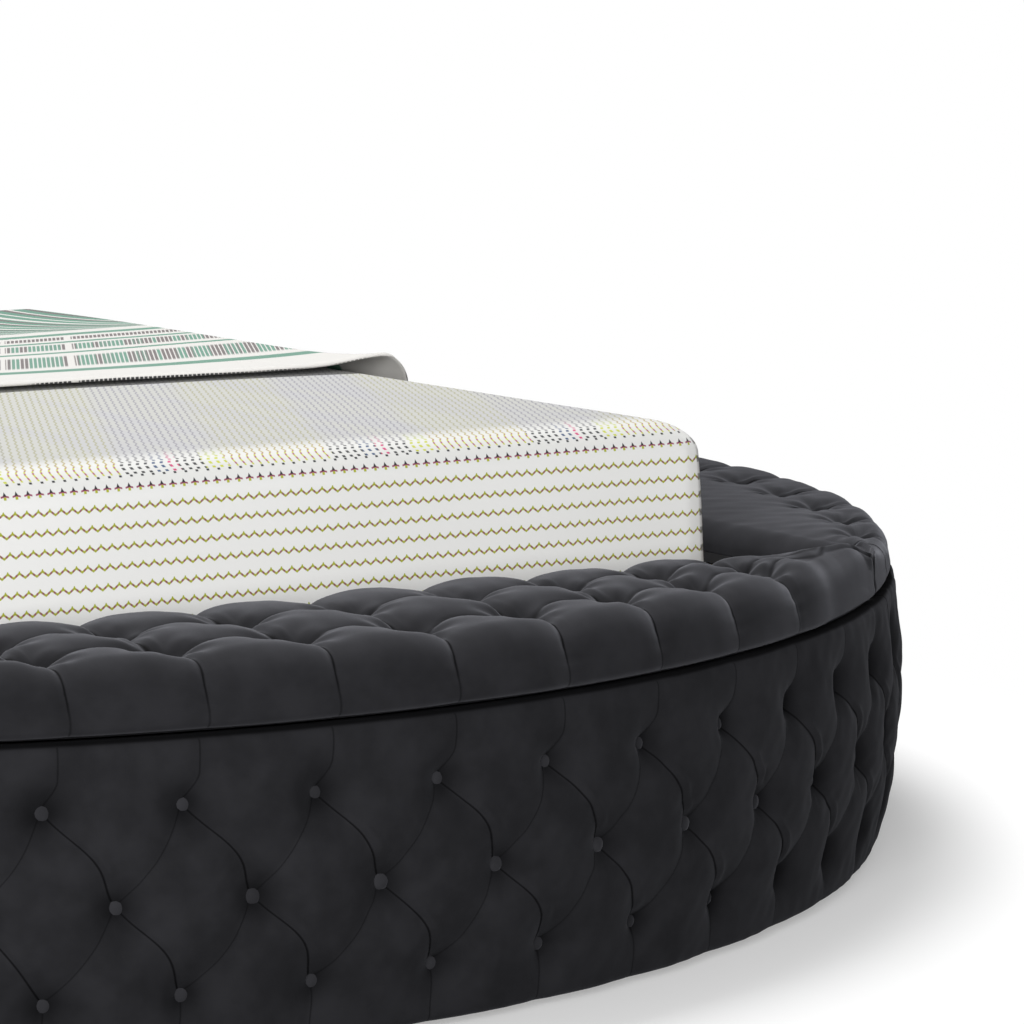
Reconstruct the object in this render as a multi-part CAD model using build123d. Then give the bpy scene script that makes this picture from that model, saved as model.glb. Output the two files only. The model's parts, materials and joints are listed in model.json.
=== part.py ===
from build123d import *
import os
from math import acos, asin, cos, degrees, hypot, pi, radians, sin, sqrt

# A round upholstered storage bed. X points to the right as seen from the foot, the foot
# faces -Y, the head faces +Y, and the origin is on the floor under the centre of the round.
# All lengths are in millimetres and all angles in degrees.

# Plan of the bed
mattress_width = 1524.0
mattress_length = 2032.0
corner_room = 220.0
outer_radius = hypot(mattress_width / 2, mattress_length / 2) + corner_room
side_gap = 238.0
end_gap = 84.0
side_chord = mattress_width / 2 + side_gap
end_chord = mattress_length / 2 + end_gap

# Tufting grid round the bed
tuft_columns = 56
column_angle = 360 / tuft_columns
end_margin_share = 0.125
steps_per_column = 2

# Heights of the boxes and their boards
glide_height = 10.0
glide_radius = 16.0
outer_glides = 5
inner_glides = 4
inner_glide_share = 0.8
bottom_thickness = 12.0
rim_height = 397.0
bumper_height = 3.0
lid_thickness = 15.0
lid_underside = rim_height + bumper_height
lid_top = lid_underside + lid_thickness
soft_gap = 0.3
fit_gap = 0.3

# Walls of the boxes
skirt_thickness = 45.0
shell_thickness = 12.0
panel_thickness = 18.0
shell_outer = outer_radius - skirt_thickness
shell_inner = shell_outer - shell_thickness
wall_radius = shell_inner - fit_gap
end_corner_angle = degrees(acos(end_chord / wall_radius))
side_corner_angle = degrees(asin(side_chord / wall_radius))
corner_middle = (end_corner_angle + side_corner_angle) / 2
half_column = column_angle / steps_per_column
joint_angle = (int(corner_middle / half_column) + 1 / steps_per_column) * half_column
post_width = 70.0

# Lid cushions: the end ones are thick and have two rows of tufts, the side ones are low
hem_wrap = 25.0
board_radius = outer_radius - hem_wrap
board_tip_width = 19.0
cushion_tip_width = 15.0
cushion_rise = 85.0
tip_rise_share = 0.66
inner_roll = 42.0
outer_roll = 52.0
side_rise = 45.0
side_inner_roll = 32.0
side_outer_roll = 34.0
side_tuft_depth = 18.0
roll_width_share = 0.42
lip_tip_share = 0.4
hem_gap = 0.5
lip_gap = 1.3
hem_drawn_in = 3.0
front_belly = 3.0
front_pleat = 6.0
rear_pleat = 20.0
row_pleat = 9.0
tuft_depth = 26.0
pillow_puff = 9.0
pleat_puff = 4.0
lid_open_clearance = 12.0
lid_end_gap = 1.5
foot_lid_angle = 65.0
row_places_share = (0.34, 0.80)
puff_limit_share = 0.12
tuft_room_share = 1.2
inner_face_gap = 0.5

# Skirt pads
skirt_top_gap = 1.0
skirt_floor_gap = 12.0
skirt_foot_drawn_in = 20.0
skirt_belly = 12.0
skirt_belly_height = 185.0
skirt_low_row = 85.0
skirt_row_step = 115.0
skirt_middle_row = skirt_low_row + skirt_row_step
skirt_high_row = skirt_middle_row + skirt_row_step
skirt_tuft_depth = 24.0
skirt_puff = 5.0
skirt_edge_pleat = 3.0
pad_joint_gap = 0.4

# Buttons
button_radius = 12.5
button_height = 7.0
button_rim = 3.0
button_seat_gap = 0.4

# Slats, beam and legs in the well
slat_drop = 47.0
slat_top = rim_height - slat_drop
slat_thickness = 20.0
slat_width = 70.0
slat_count = 14
slat_end_gap = 3.0
slat_first_inset = 30.0
cleat_width = 30.0
cleat_height = 45.0
strap_width = 25.0
strap_thickness = 1.5
strap_offset = 380.0
beam_width = 50.0
beam_height = 60.0
bracket_wall = 3.0
bracket_length = 50.0
bracket_height_share = 0.8
leg_width = 45.0
leg_count = 4
leg_spread_share = 0.68
stud_show_share = 0.3
leg_foot_radius = 20.0
leg_foot_height = 12.0
leg_stud_radius = 4.0
leg_stud_length = 20.0
cover_thickness = 3.0
cover_top_gap = 6.0

# Battens and bolts that join the boxes at the corners
batten_width = 30.0
batten_thickness = 12.0
batten_floor_gap = 30.0
batten_top_gap = 40.0
bolt_radius = 3.0
bolt_head_radius = 5.5
bolt_head_height = 4.0
bolt_bite = 8.0
bolt_gap = 0.1
bolt_rows = 3
bolt_side_offset = 9.0

# Lid hinges
hinge_count = 3
hinge_spacing = 620.0
hinge_length = 90.0
hinge_knuckles = 3
hinge_leaf = 1.4
hinge_leaf_depth = 16.0
barrel_radius = 4.2
barrel_offset = 4.6
pin_radius = 2.2
pin_gap = 0.05
knuckle_gap = 0.3
pin_head_radius = 3.6
pin_head_height = 1.2
bumper_radius = 5.0
bumper_columns_share = 1.5
bumpers_per_lid = 5

# Headboard
headboard_half_angle = 33.0
headboard_top = 1250.0
headboard_end_drop = 220.0
headboard_panel = 18.0
headboard_front_pad = 80.0
headboard_back_pad = 30.0
headboard_rows_share = (0.12, 0.27, 0.42, 0.57, 0.72, 0.87)
panel_inset = 12.0
headboard_tuft_depth = 26.0
headboard_puff = 5.0
headboard_end_share = 0.33
deck_clearance = 1.5
headboard_roll = 34.0
upright_width = 60.0
upright_thickness = 12.0
upright_low = 60.0
upright_high = 900.0
upright_angle = 20.0
upright_bolt_inset = 60.0
upright_bolts = 4

# Mattress and blanket
mattress_thickness = 305.0
mattress_corner = 48.0
mattress_edge = 45.0
blanket_thickness = 9.0
blanket_foot_edge = -170.0
blanket_head_edge = 960.0
blanket_drop = 250.0
blanket_fold_depth = 14.0
blanket_folds = 5
blanket_gap = 0.5
overrun = 50.0

slat_underside = slat_top - slat_thickness
mattress_top = slat_top + mattress_thickness
headboard_outer = shell_inner + headboard_panel
headboard_front = wall_radius - headboard_front_pad
headboard_back = headboard_outer + fit_gap + headboard_back_pad
headboard_base = lid_top + soft_gap

os.makedirs("parts", exist_ok=True)


def write(name, shape):
    """Write one sub-part to its own file."""
    export_step(shape, os.path.join("parts", name + ".step"))


def circle_reach(radius, across):
    """Distance from the centre line to a circle, measured at a sideways offset."""
    return sqrt(radius**2 - across**2)


def turned(shape, angle):
    """A copy of a foot-side shape, turned about the centre of the bed."""
    return Rot(0, 0, angle) * shape


def block(x_low, x_high, y_low, y_high, z_low, z_high):
    """A rectangular block between two corners."""
    centre = ((x_low + x_high) / 2, (y_low + y_high) / 2, (z_low + z_high) / 2)
    return Pos(*centre) * Box(x_high - x_low, y_high - y_low, z_high - z_low)


def disc(radius, z_low, z_high):
    """An upright cylinder on the centre of the bed."""
    return Pos(0, 0, (z_low + z_high) / 2) * Cylinder(radius, z_high - z_low)


def ring(inner, outer, z_low, z_high):
    """A flat-ended tube on the centre of the bed."""
    return disc(outer, z_low, z_high) - disc(inner, z_low - overrun, z_high + overrun)


def sector(half_angle, reach, z_low, z_high):
    """A wedge that opens towards the foot, for cutting rings into arcs."""
    corner_x = reach * sin(radians(half_angle))
    corner_y = -reach * cos(radians(half_angle))
    front_y = -reach - overrun
    outline = Polyline((0, 0), (corner_x, corner_y), (corner_x, front_y), (-corner_x, front_y),
                       (-corner_x, corner_y), close=True)
    return Pos(0, 0, z_low) * extrude(make_face(outline), z_high - z_low)


def arc_wall(inner, outer, half_angle, z_low, z_high):
    """A piece of curved wall centred on the foot."""
    wedge = sector(half_angle, outer + overrun, z_low - overrun, z_high + overrun)
    return ring(inner, outer, z_low, z_high) & wedge


def segment(radius, chord, z_low, z_high):
    """The part of a disc that lies beyond a chord on the foot side."""
    keep = block(-radius, radius, -radius - overrun, -chord, z_low - overrun, z_high + overrun)
    return disc(radius, z_low, z_high) & keep


def polar(radius, angle, z):
    """A point at an angle from the foot direction, positive towards +X."""
    return Vector(radius * sin(radians(angle)), -radius * cos(radians(angle)), z)


def radial_plane(radius, angle, z):
    """A plane at a point of the round whose normal points away from the centre."""
    out = Vector(sin(radians(angle)), -cos(radians(angle)), 0)
    return Plane(origin=polar(radius, angle, z), x_dir=(0, 0, 1), z_dir=out)


def outside_chords(radius):
    """Radius of the section points that keeps straight faces outside a round wall."""
    return radius / cos(radians(column_angle / steps_per_column / 2))


def closed_wire(steps):
    """A closed wire from steps of (end point) for a line or (middle, end) for an arc."""
    edges = []
    start = steps[-1][-1]
    for step in steps:
        if len(step) == 1:
            edges.append(Edge.make_line(start, step[0]))
        else:
            edges.append(Edge.make_three_point_arc(start, step[0], step[1]))
        start = step[-1]
    return Wire(edges)


def even_list(low, high, count):
    """Evenly spaced values from low to high."""
    return [low + (high - low) * i / (count - 1) for i in range(count)]


# Lid, deck and corner cushions


def column_share(angle):
    """1 on a tuft column, 0 half way between two columns."""
    return cos(pi * angle / column_angle) ** 2


end_form = {"rise": cushion_rise, "tip_rise": cushion_rise * tip_rise_share,
            "inner_roll": inner_roll, "outer_roll": outer_roll, "depth": tuft_depth,
            "dips": (1, 1)}
side_form = {"rise": side_rise, "tip_rise": side_rise, "inner_roll": side_inner_roll,
             "outer_roll": side_outer_roll, "depth": side_tuft_depth, "dips": (0, 1)}
corner_form = {**side_form, "dips": (0, 0)}


def cushion_top(front, chord, form):
    """Height of a cushion's crown where its front edge is this far beyond the chord."""
    fullness = 1 - (1 - front / (outer_radius - chord)) ** 2
    return lid_top + form["tip_rise"] + (form["rise"] - form["tip_rise"]) * fullness


def cushion_section(station, chord, form):
    """Cross-section of a lid cushion at a sideways offset from the middle of its chord."""
    dips = form["dips"]
    deep = form["depth"]
    share = column_share(degrees(asin(station / outer_radius)))
    front = circle_reach(outer_radius, station) - chord
    width = front - inner_face_gap
    top = cushion_top(front, chord, form)
    inner = inner_face_gap
    roll_in = min(form["inner_roll"], width * roll_width_share)
    roll_out = min(form["outer_roll"], width * roll_width_share)
    size = min(1, width / (form["inner_roll"] + form["outer_roll"] + deep))
    face = front - share * front_pleat * size
    board = circle_reach(board_radius, station) - chord
    lip = max(board + lip_gap, inner + width * lip_tip_share)
    base = lid_top + soft_gap
    hem = lid_underside + hem_gap
    rear_depth = share * rear_pleat * size * dips[0]
    front_depth = share * row_pleat * size
    slack = share * pleat_puff + (1 - share) * pillow_puff
    row_depths = [size * dip * (row_pleat + share * (deep - row_pleat)) for dip in dips]
    flat_low = inner + roll_in
    flat_high = face - roll_out
    nodes = [(flat_low, top - rear_depth)]
    for index, depth in enumerate(row_depths):
        across = flat_low + (flat_high - flat_low) * row_places_share[index]
        nodes.append((across, top - depth))
    nodes.append((flat_high, top - front_depth))

    def at(across, z):
        return Vector(station, -chord - across, z)

    inner_low_roll = top - rear_depth - form["inner_roll"]
    outer_low_roll = top - front_depth - form["outer_roll"]
    bend = 1 - sqrt(0.5)
    rolled = nodes[0][1] - form["inner_roll"] * bend
    steps = [(at(inner, base),), (at(inner, inner_low_roll),)]
    steps.append((at(inner + roll_in * bend, rolled), at(*nodes[0])))
    for low, high in zip(nodes[:-1], nodes[1:]):
        puff = min(slack * size, (high[0] - low[0]) * puff_limit_share)
        middle = ((low[0] + high[0]) / 2, (low[1] + high[1]) / 2 + puff)
        steps.append((at(*middle), at(*high)))
    rolled = nodes[-1][1] - form["outer_roll"] * bend
    steps.append((at(face - roll_out * bend, rolled), at(face, outer_low_roll)))
    middle_face = (face + front_belly / 2, (outer_low_roll + hem) / 2)
    steps.append((at(*middle_face), at(face - hem_drawn_in, hem)))
    steps.append((at(lip, hem),))
    steps.append((at(lip, base),))
    return closed_wire(steps)


def half_columns(low, high):
    """Offsets of the columns, and of the pillow middles between them, inside a range."""
    steps = range(-tuft_columns, tuft_columns + 1)
    angles = [step * column_angle / steps_per_column for step in steps]
    inside = [outer_radius * sin(radians(angle)) for angle in angles if abs(angle) < 90]
    margin = button_radius
    return [low] + [s for s in inside if low + margin < s < high - margin] + [high]


def cushion(chord, low, high, form):
    """A tufted cushion on a lid whose inner edge lies on a chord."""
    stations = half_columns(low, high)
    return Solid.make_loft([cushion_section(s, chord, form) for s in stations], ruled=True)


def tip_station(chord, radius, width):
    """Offset at which a segment beyond a chord has narrowed to a width."""
    return circle_reach(radius, chord + width)


def lid_board(chord, low, high, z_low, z_high):
    """The board of a lid, cut off square where the segment gets too narrow."""
    tip = tip_station(chord, board_radius, board_tip_width)
    keep = block(max(low, -tip), min(high, tip), -outer_radius, -chord, z_low - overrun,
                 z_high + overrun)
    return segment(board_radius, chord, z_low, z_high) & keep


def lid_tufts(chord, low, high, form):
    """Places of the sewn tufts of a cushion: offset, distance from the chord, and height."""
    places = []
    for column in range(-tuft_columns // 4, tuft_columns // 4 + 1):
        station = outer_radius * sin(radians(column * column_angle))
        if not low + button_radius < station < high - button_radius:
            continue
        front = circle_reach(outer_radius, station) - chord
        width = front - inner_face_gap
        size = width / (form["inner_roll"] + form["outer_roll"] + form["depth"])
        if size < tuft_room_share:
            continue
        top = cushion_top(front, chord, form)
        flat_low = inner_face_gap + form["inner_roll"]
        flat_high = front - front_pleat - form["outer_roll"]
        for place, dip in zip(row_places_share, form["dips"]):
            if dip == 1:
                across = flat_low + (flat_high - flat_low) * place
                places.append(Vector(station, -chord - across, top - form["depth"]))
    return places


def button_at(plane):
    """A covered button: a short rim with a domed top."""
    rim = Cylinder(button_radius, button_rim, align=(Align.CENTER, Align.CENTER, Align.MIN))
    dome_height = button_height - button_rim
    dome_radius = (button_radius**2 + dome_height**2) / (2 * dome_height)
    ball = Pos(0, 0, button_height - dome_radius) * Sphere(dome_radius)
    above = Pos(0, 0, button_rim) * Cylinder(button_radius, button_height,
                                             align=(Align.CENTER, Align.CENTER, Align.MIN))
    return plane * (rim + (ball & above))


def seat_at(plane):
    """The round hollow that a button sinks into."""
    hollow = Cylinder(button_radius + button_seat_gap, tuft_depth + overrun,
                      align=(Align.CENTER, Align.CENTER, Align.MIN))
    return plane * hollow


def up_plane(point):
    """A level plane at a point."""
    return Plane(origin=point, z_dir=(0, 0, 1))


def tufted(pad, planes):
    """A pad with its button seats cut, and the buttons that fill them."""
    seats = [seat_at(plane) for plane in planes]
    return pad.cut(*seats), [button_at(plane) for plane in planes]


# Skirt pads


def skirt_face_radius(z):
    """Radius of the untufted skirt, a parabola through the floor edge, belly and seam."""
    low_z = skirt_floor_gap
    high_z = rim_height - skirt_top_gap
    low_r = outer_radius - skirt_foot_drawn_in
    mid_r = outer_radius + skirt_belly
    mid_z = skirt_belly_height
    share_low = (z - mid_z) * (z - high_z) / ((low_z - mid_z) * (low_z - high_z))
    share_mid = (z - low_z) * (z - high_z) / ((mid_z - low_z) * (mid_z - high_z))
    share_high = (z - low_z) * (z - mid_z) / ((high_z - low_z) * (high_z - mid_z))
    return share_low * low_r + share_mid * mid_r + share_high * outer_radius


def skirt_section(angle):
    """Upright cross-section of a skirt pad at an angle from the middle of the foot."""
    share = column_share(angle)
    low_z = skirt_floor_gap
    high_z = rim_height - skirt_top_gap
    heights = [low_z, skirt_low_row, skirt_middle_row, skirt_high_row, high_z]
    depths = [share * skirt_edge_pleat, share * skirt_tuft_depth,
              (1 - share) * skirt_tuft_depth, share * skirt_tuft_depth,
              share * skirt_edge_pleat]
    inner = outside_chords(shell_outer + soft_gap)
    steps = [(polar(inner, angle, high_z),), (polar(inner, angle, low_z),)]
    faces = [skirt_face_radius(z) - depth for z, depth in zip(heights, depths)]
    steps.append((polar(faces[0], angle, low_z),))
    for index in range(len(heights) - 1):
        z = (heights[index] + heights[index + 1]) / 2
        depth = (depths[index] + depths[index + 1]) / 2 - skirt_puff
        middle = polar(skirt_face_radius(z) - depth, angle, z)
        steps.append((middle, polar(faces[index + 1], angle, heights[index + 1])))
    return closed_wire(steps)


def skirt_angles(low, high):
    """Angles of the columns and half columns inside a range, with the two ends."""
    first = int(low // half_column) + 1
    last = int(high // half_column)
    inside = [step * half_column for step in range(first, last + 1)]
    margin = column_angle * end_margin_share
    return [low] + [a for a in inside if low + margin < a < high - margin] + [high]


def skirt_tuft_planes(low, high):
    """Planes of the buttons of a skirt between two angles."""
    planes = []
    for step in range(int(low // half_column), int(high // half_column) + 2):
        angle = step * half_column
        if not low < angle < high:
            continue
        rows = (skirt_low_row, skirt_high_row) if step % 2 == 0 else (skirt_middle_row,)
        for z in rows:
            planes.append(radial_plane(skirt_face_radius(z) - skirt_tuft_depth, angle, z))
    return planes


def skirt(low, high):
    """A tufted skirt pad between two angles, with its buttons."""
    sections = [skirt_section(angle) for angle in skirt_angles(low, high)]
    return tufted(Solid.make_loft(sections, ruled=True), skirt_tuft_planes(low, high))


# Frame: bottoms, walls, posts and the covers of the inner walls

chords = {"foot": end_chord, "right": side_chord, "head": end_chord, "left": side_chord}
turns = {"foot": 0, "right": 90, "head": 180, "left": -90}
half_angles = {"foot": joint_angle, "right": 90 - joint_angle}
half_angles.update({"head": half_angles["foot"], "left": half_angles["right"]})
corner_angles = (joint_angle, 180 - joint_angle, 180 + joint_angle, -joint_angle)
joint_gap_angle = degrees(pad_joint_gap / outer_radius)
bottom_top = glide_height + bottom_thickness
well_reach = {name: circle_reach(wall_radius, chord) for name, chord in chords.items()}


def box_bottom(chord):
    """The bottom board of one box, inside its curved and straight walls."""
    return segment(wall_radius, chord + panel_thickness + fit_gap, glide_height, bottom_top)


def inner_panel(chord):
    """The straight wall between a box and the mattress well."""
    reach = circle_reach(wall_radius, chord)
    wall = block(-reach, reach, -chord - panel_thickness, -chord, glide_height, rim_height)
    return wall & disc(wall_radius, 0, rim_height + overrun)


def end_posts(chord):
    """The two solid posts in the sharp corners of a box."""
    inner = chord + panel_thickness + fit_gap
    reach = circle_reach(wall_radius, inner)
    wedge = segment(wall_radius, inner, bottom_top, rim_height)
    middle = block(post_width - reach, reach - post_width, -outer_radius, 0, 0, outer_radius)
    return (wedge - middle).solids()


def inner_cover(chord, reach):
    """The thin velvet-covered pad on the well side of a straight wall, above the slats."""
    return block(-reach, reach, -chord + fit_gap, -chord + fit_gap + cover_thickness,
                 slat_top + fit_gap, rim_height - cover_top_gap)


def radial_bolt(face_radius, grip, across, z, extra=0):
    """A bolt whose head sits on a face that looks at the centre, driven outwards."""
    head_low = -face_radius
    shank = Cylinder(bolt_radius + extra, grip + bolt_bite + extra,
                     align=(Align.CENTER, Align.CENTER, Align.MIN))
    head = Cylinder(bolt_head_radius, bolt_head_height,
                    align=(Align.CENTER, Align.CENTER, Align.MAX))
    plane = Plane(origin=(across, head_low, z), x_dir=(0, 0, 1), z_dir=(0, -1, 0))
    return plane * (shank + head)


batten_flat = circle_reach(wall_radius, batten_width / 2)
batten_low = glide_height + batten_floor_gap
batten_high = rim_height - batten_top_gap
bolt_inset = (batten_high - batten_low) / (2 * bolt_rows)
batten_bolt_heights = even_list(batten_low + bolt_inset, batten_high - bolt_inset, bolt_rows)


def batten_bolts(extra=0):
    """The bolts of the batten behind one joint of the shells, at the middle of the foot."""
    face = batten_flat - batten_thickness
    grip = batten_thickness + shell_inner - batten_flat
    return [radial_bolt(face, grip, side * bolt_side_offset, z, extra)
            for z in batten_bolt_heights for side in (-1, 1)]


upright_flat = circle_reach(wall_radius, upright_width / 2)
upright_places = (180 - upright_angle, 180 + upright_angle)
shell_bolt_heights = even_list(upright_low + upright_bolt_inset, rim_height - upright_bolt_inset,
                               upright_bolts // 2)
panel_bolt_heights = even_list(headboard_base + upright_bolt_inset,
                               upright_high - upright_bolt_inset, upright_bolts // 2)


def upright_bolt_set(extra=0):
    """The bolts of one headboard upright, at the middle of the foot."""
    face = upright_flat - upright_thickness
    grip = upright_thickness + shell_inner - upright_flat
    return [radial_bolt(face, grip, 0, z, extra)
            for z in shell_bolt_heights + panel_bolt_heights]


batten_holes = [turned(bolt, angle) for angle in corner_angles for bolt in batten_bolts(bolt_gap)]
upright_holes = [turned(bolt, angle) for angle in upright_places
                 for bolt in upright_bolt_set(bolt_gap)]

for name in chords:
    turn = turns[name]
    half = half_angles[name] - joint_gap_angle
    shell = arc_wall(shell_inner, shell_outer, half, glide_height, rim_height)
    write(name + "_shell", turned(shell, turn) - batten_holes - upright_holes)
    write(name + "_box_bottom", turned(box_bottom(chords[name]), turn))
    write(name + "_inner_panel", turned(inner_panel(chords[name]), turn))

write("corner_posts", Compound([turned(post, turns[name]) for name in chords
                                for post in end_posts(chords[name])]))
write("inner_wall_covers", Compound([
    turned(inner_cover(chords[name], well_reach[name] - batten_width), turns[name])
    for name in chords]))

skirt_buttons = []
for name in chords:
    half = half_angles[name] - joint_gap_angle
    pad, buttons = skirt(turns[name] - half, turns[name] + half)
    write(name + "_skirt", pad)
    skirt_buttons += buttons
write("skirt_buttons", Compound(skirt_buttons))

batten = block(-batten_width / 2, batten_width / 2, -batten_flat,
               -batten_flat + batten_thickness, batten_low, batten_high)
write("corner_battens", Compound([turned(batten - batten_bolts(bolt_gap), angle)
                                  for angle in corner_angles]))
write("corner_bolts", Compound([turned(bolt, angle) for angle in corner_angles
                                for bolt in batten_bolts()]))


def box_glides(chord):
    """The round glides under one box: an outer row on an arc and an inner row."""
    arc = wall_radius - 2 * glide_radius
    inner = chord + panel_thickness + 2 * glide_radius
    reach = degrees(acos(inner / arc))
    places = [polar(arc, angle, 0) for angle in even_list(-reach, reach, outer_glides)]
    straight = circle_reach(arc, inner) * inner_glide_share
    places += [Vector(x, -inner, 0) for x in even_list(-straight, straight, inner_glides)]
    glide = Cylinder(glide_radius, glide_height, align=(Align.CENTER, Align.CENTER, Align.MIN))
    return [Pos(*place) * glide for place in places]


write("floor_glides", Compound([turned(glide, turns[name]) for name in chords
                                for glide in box_glides(chords[name])]))

# Slats, cleats, straps, beam and legs in the well

slat_half = side_chord - slat_end_gap
slat_reach = mattress_length / 2 - slat_first_inset - slat_width / 2
slat_centres = even_list(-slat_reach, slat_reach, slat_count)
write("slats", Compound([
    block(-slat_half, slat_half, y - slat_width / 2, y + slat_width / 2, slat_underside, slat_top)
    for y in slat_centres]))

cleat_reach = well_reach["right"] - batten_width
cleat = block(side_chord - cleat_width, side_chord, -cleat_reach, cleat_reach,
              slat_underside - cleat_height, slat_underside)
write("slat_cleats", Compound([turned(cleat, angle) for angle in (0, 180)]))

strap_reach = slat_reach + slat_width / 2
strap = block(strap_offset - strap_width / 2, strap_offset + strap_width / 2, -strap_reach,
              strap_reach, slat_underside - strap_thickness, slat_underside)
write("slat_straps", Compound([turned(strap, angle) for angle in (0, 180)]))

beam_low = slat_underside - beam_height
beam_reach = end_chord - bracket_wall - fit_gap
write("centre_beam", block(-beam_width / 2, beam_width / 2, -beam_reach, beam_reach, beam_low,
                           slat_underside))

bracket_half = beam_width / 2 + fit_gap + bracket_wall
bracket_top = beam_low + beam_height * bracket_height_share
bracket = block(-bracket_half, bracket_half, -end_chord, -end_chord + bracket_length,
                beam_low - bracket_wall, bracket_top)
bracket -= block(bracket_wall - bracket_half, bracket_half - bracket_wall,
                 -end_chord + bracket_wall, 0, beam_low, bracket_top + overrun)
write("beam_brackets", Compound([turned(bracket, angle) for angle in (0, 180)]))

leg_reach = end_chord * leg_spread_share
leg_low = leg_foot_height + leg_stud_length * stud_show_share
leg_base = (Align.CENTER, Align.CENTER, Align.MIN)
stud_height = leg_stud_length + leg_foot_height
leg = Pos(0, 0, leg_low) * Box(leg_width, leg_width, beam_low - leg_low, align=leg_base)
leg -= Cylinder(leg_stud_radius + bolt_gap, stud_height + bolt_gap, align=leg_base)
leg_foot = Cylinder(leg_foot_radius, leg_foot_height, align=leg_base)
leg_foot += Cylinder(leg_stud_radius, stud_height, align=leg_base)
leg_places = [Pos(0, y, 0) for y in even_list(-leg_reach, leg_reach, leg_count)]
write("beam_legs", Compound([place * leg for place in leg_places]))
write("beam_leg_feet", Compound([place * leg_foot for place in leg_places]))

# Lids with their cushions, buttons and hinges

hinge_axis_z = (rim_height + lid_underside) / 2
roll_centre_height = lid_top + cushion_rise - inner_roll - hinge_axis_z
roll_centre_across = inner_roll + inner_face_gap + barrel_offset
open_rise = roll_centre_height * sin(radians(foot_lid_angle))
open_back = roll_centre_across * cos(radians(foot_lid_angle))
foot_lid_reach = open_rise - open_back + inner_roll - barrel_offset
side_lid_end = end_chord - foot_lid_reach - lid_open_clearance
foot_tip = tip_station(end_chord, outer_radius, cushion_tip_width)
side_tip = tip_station(side_chord, outer_radius, cushion_tip_width)

lid_ends = {"foot": foot_tip, "right": side_lid_end, "left": side_lid_end}
lid_forms = {"foot": end_form, "right": side_form, "left": side_form}
hinge_places = [hinge_spacing * (i - (hinge_count - 1) / 2) for i in range(hinge_count)]
knuckle_length = hinge_length / hinge_knuckles


def hinge_part(chord, place, knuckles, z_low, z_high):
    """One leaf of a lid hinge with its share of the knuckles."""
    half = hinge_length / 2
    axis_y = -chord + barrel_offset
    leaf = block(place - half, place + half, -chord - hinge_leaf_depth, -chord, z_low, z_high)
    for index in knuckles:
        low = place - half + index * knuckle_length + knuckle_gap / 2
        high = low + knuckle_length - knuckle_gap
        leaf += block(low, high, -chord, axis_y, z_low, z_high)
        leaf += cross_pin(low, high, axis_y, barrel_radius)
    return leaf - cross_pin(place - half, place + half, axis_y, pin_radius + pin_gap)


def cross_pin(low, high, axis_y, radius):
    """A cylinder along X on the hinge axis."""
    plane = Plane(origin=(low, axis_y, hinge_axis_z), x_dir=(0, 1, 0), z_dir=(1, 0, 0))
    return plane * Cylinder(radius, high - low, align=leg_base)


def hinge_pin(chord, place):
    """A hinge pin with a flat head at both ends."""
    axis_y = -chord + barrel_offset
    low = place - hinge_length / 2
    high = place + hinge_length / 2
    pin = cross_pin(low, high, axis_y, pin_radius)
    pin += cross_pin(low - pin_head_height, low, axis_y, pin_head_radius)
    return pin + cross_pin(high, high + pin_head_height, axis_y, pin_head_radius)


frame_leaves = []
pins = []
bumpers = []
for name, end in lid_ends.items():
    turn = turns[name]
    chord = chords[name]
    board = lid_board(chord, -end, end, lid_underside, lid_top)
    write(name + "_lid_board", turned(board, turn))
    planes = [up_plane(point) for point in lid_tufts(chord, -end, end, lid_forms[name])]
    pad, buttons = tufted(cushion(chord, -end, end, lid_forms[name]), planes)
    write(name + "_lid_cushion", turned(pad, turn))
    write(name + "_lid_buttons", Compound([turned(button, turn) for button in buttons]))
    leaves = [hinge_part(chord, place, (1,), lid_underside - hinge_leaf, lid_underside)
              for place in hinge_places]
    write(name + "_lid_hinge_leaves", Compound([turned(leaf, turn) for leaf in leaves]))
    frame_leaves += [turned(hinge_part(chord, place, (0, 2), rim_height,
                                       rim_height + hinge_leaf), turn)
                     for place in hinge_places]
    pins += [turned(hinge_pin(chord, place), turn) for place in hinge_places]
    bumper_reach = degrees(asin(end / outer_radius)) - column_angle * bumper_columns_share
    bumper = Cylinder(bumper_radius, bumper_height, align=leg_base)
    bumper_circle = (shell_inner + shell_outer) / 2
    bumpers += [Pos(*polar(bumper_circle, angle + turn, rim_height)) * bumper
                for angle in even_list(-bumper_reach, bumper_reach, bumpers_per_lid)]
write("hinge_frame_leaves", Compound(frame_leaves))
write("hinge_pins", Compound(pins))
write("rim_bumpers", Compound(bumpers))

# Fixed cushions over the four corners, between the side lids and the end lids

corner_low = side_lid_end + lid_end_gap
corner_boards = []
corner_pads = []
for turn in (turns["right"], turns["left"]):
    for side in (-1, 1):
        low, high = sorted((side * corner_low, side * side_tip))
        board = lid_board(side_chord, low, high, rim_height, lid_top)
        corner_boards.append(turned(board, turn))
        corner_pads.append(turned(cushion(side_chord, low, high, corner_form), turn))
write("corner_boards", Compound(corner_boards))
write("corner_cushions", Compound(corner_pads))

# Fixed deck over the head box

upright_slot = block(-upright_width / 2 - fit_gap, upright_width / 2 + fit_gap,
                     -upright_flat - fit_gap, -upright_flat + upright_thickness + fit_gap,
                     0, upright_high + fit_gap)
upright_slots = [turned(upright_slot, angle) for angle in upright_places]
deck_board = lid_board(end_chord, -foot_tip, foot_tip, rim_height, lid_top)
write("head_deck_board", turned(deck_board, turns["head"]) - upright_slots)

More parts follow.
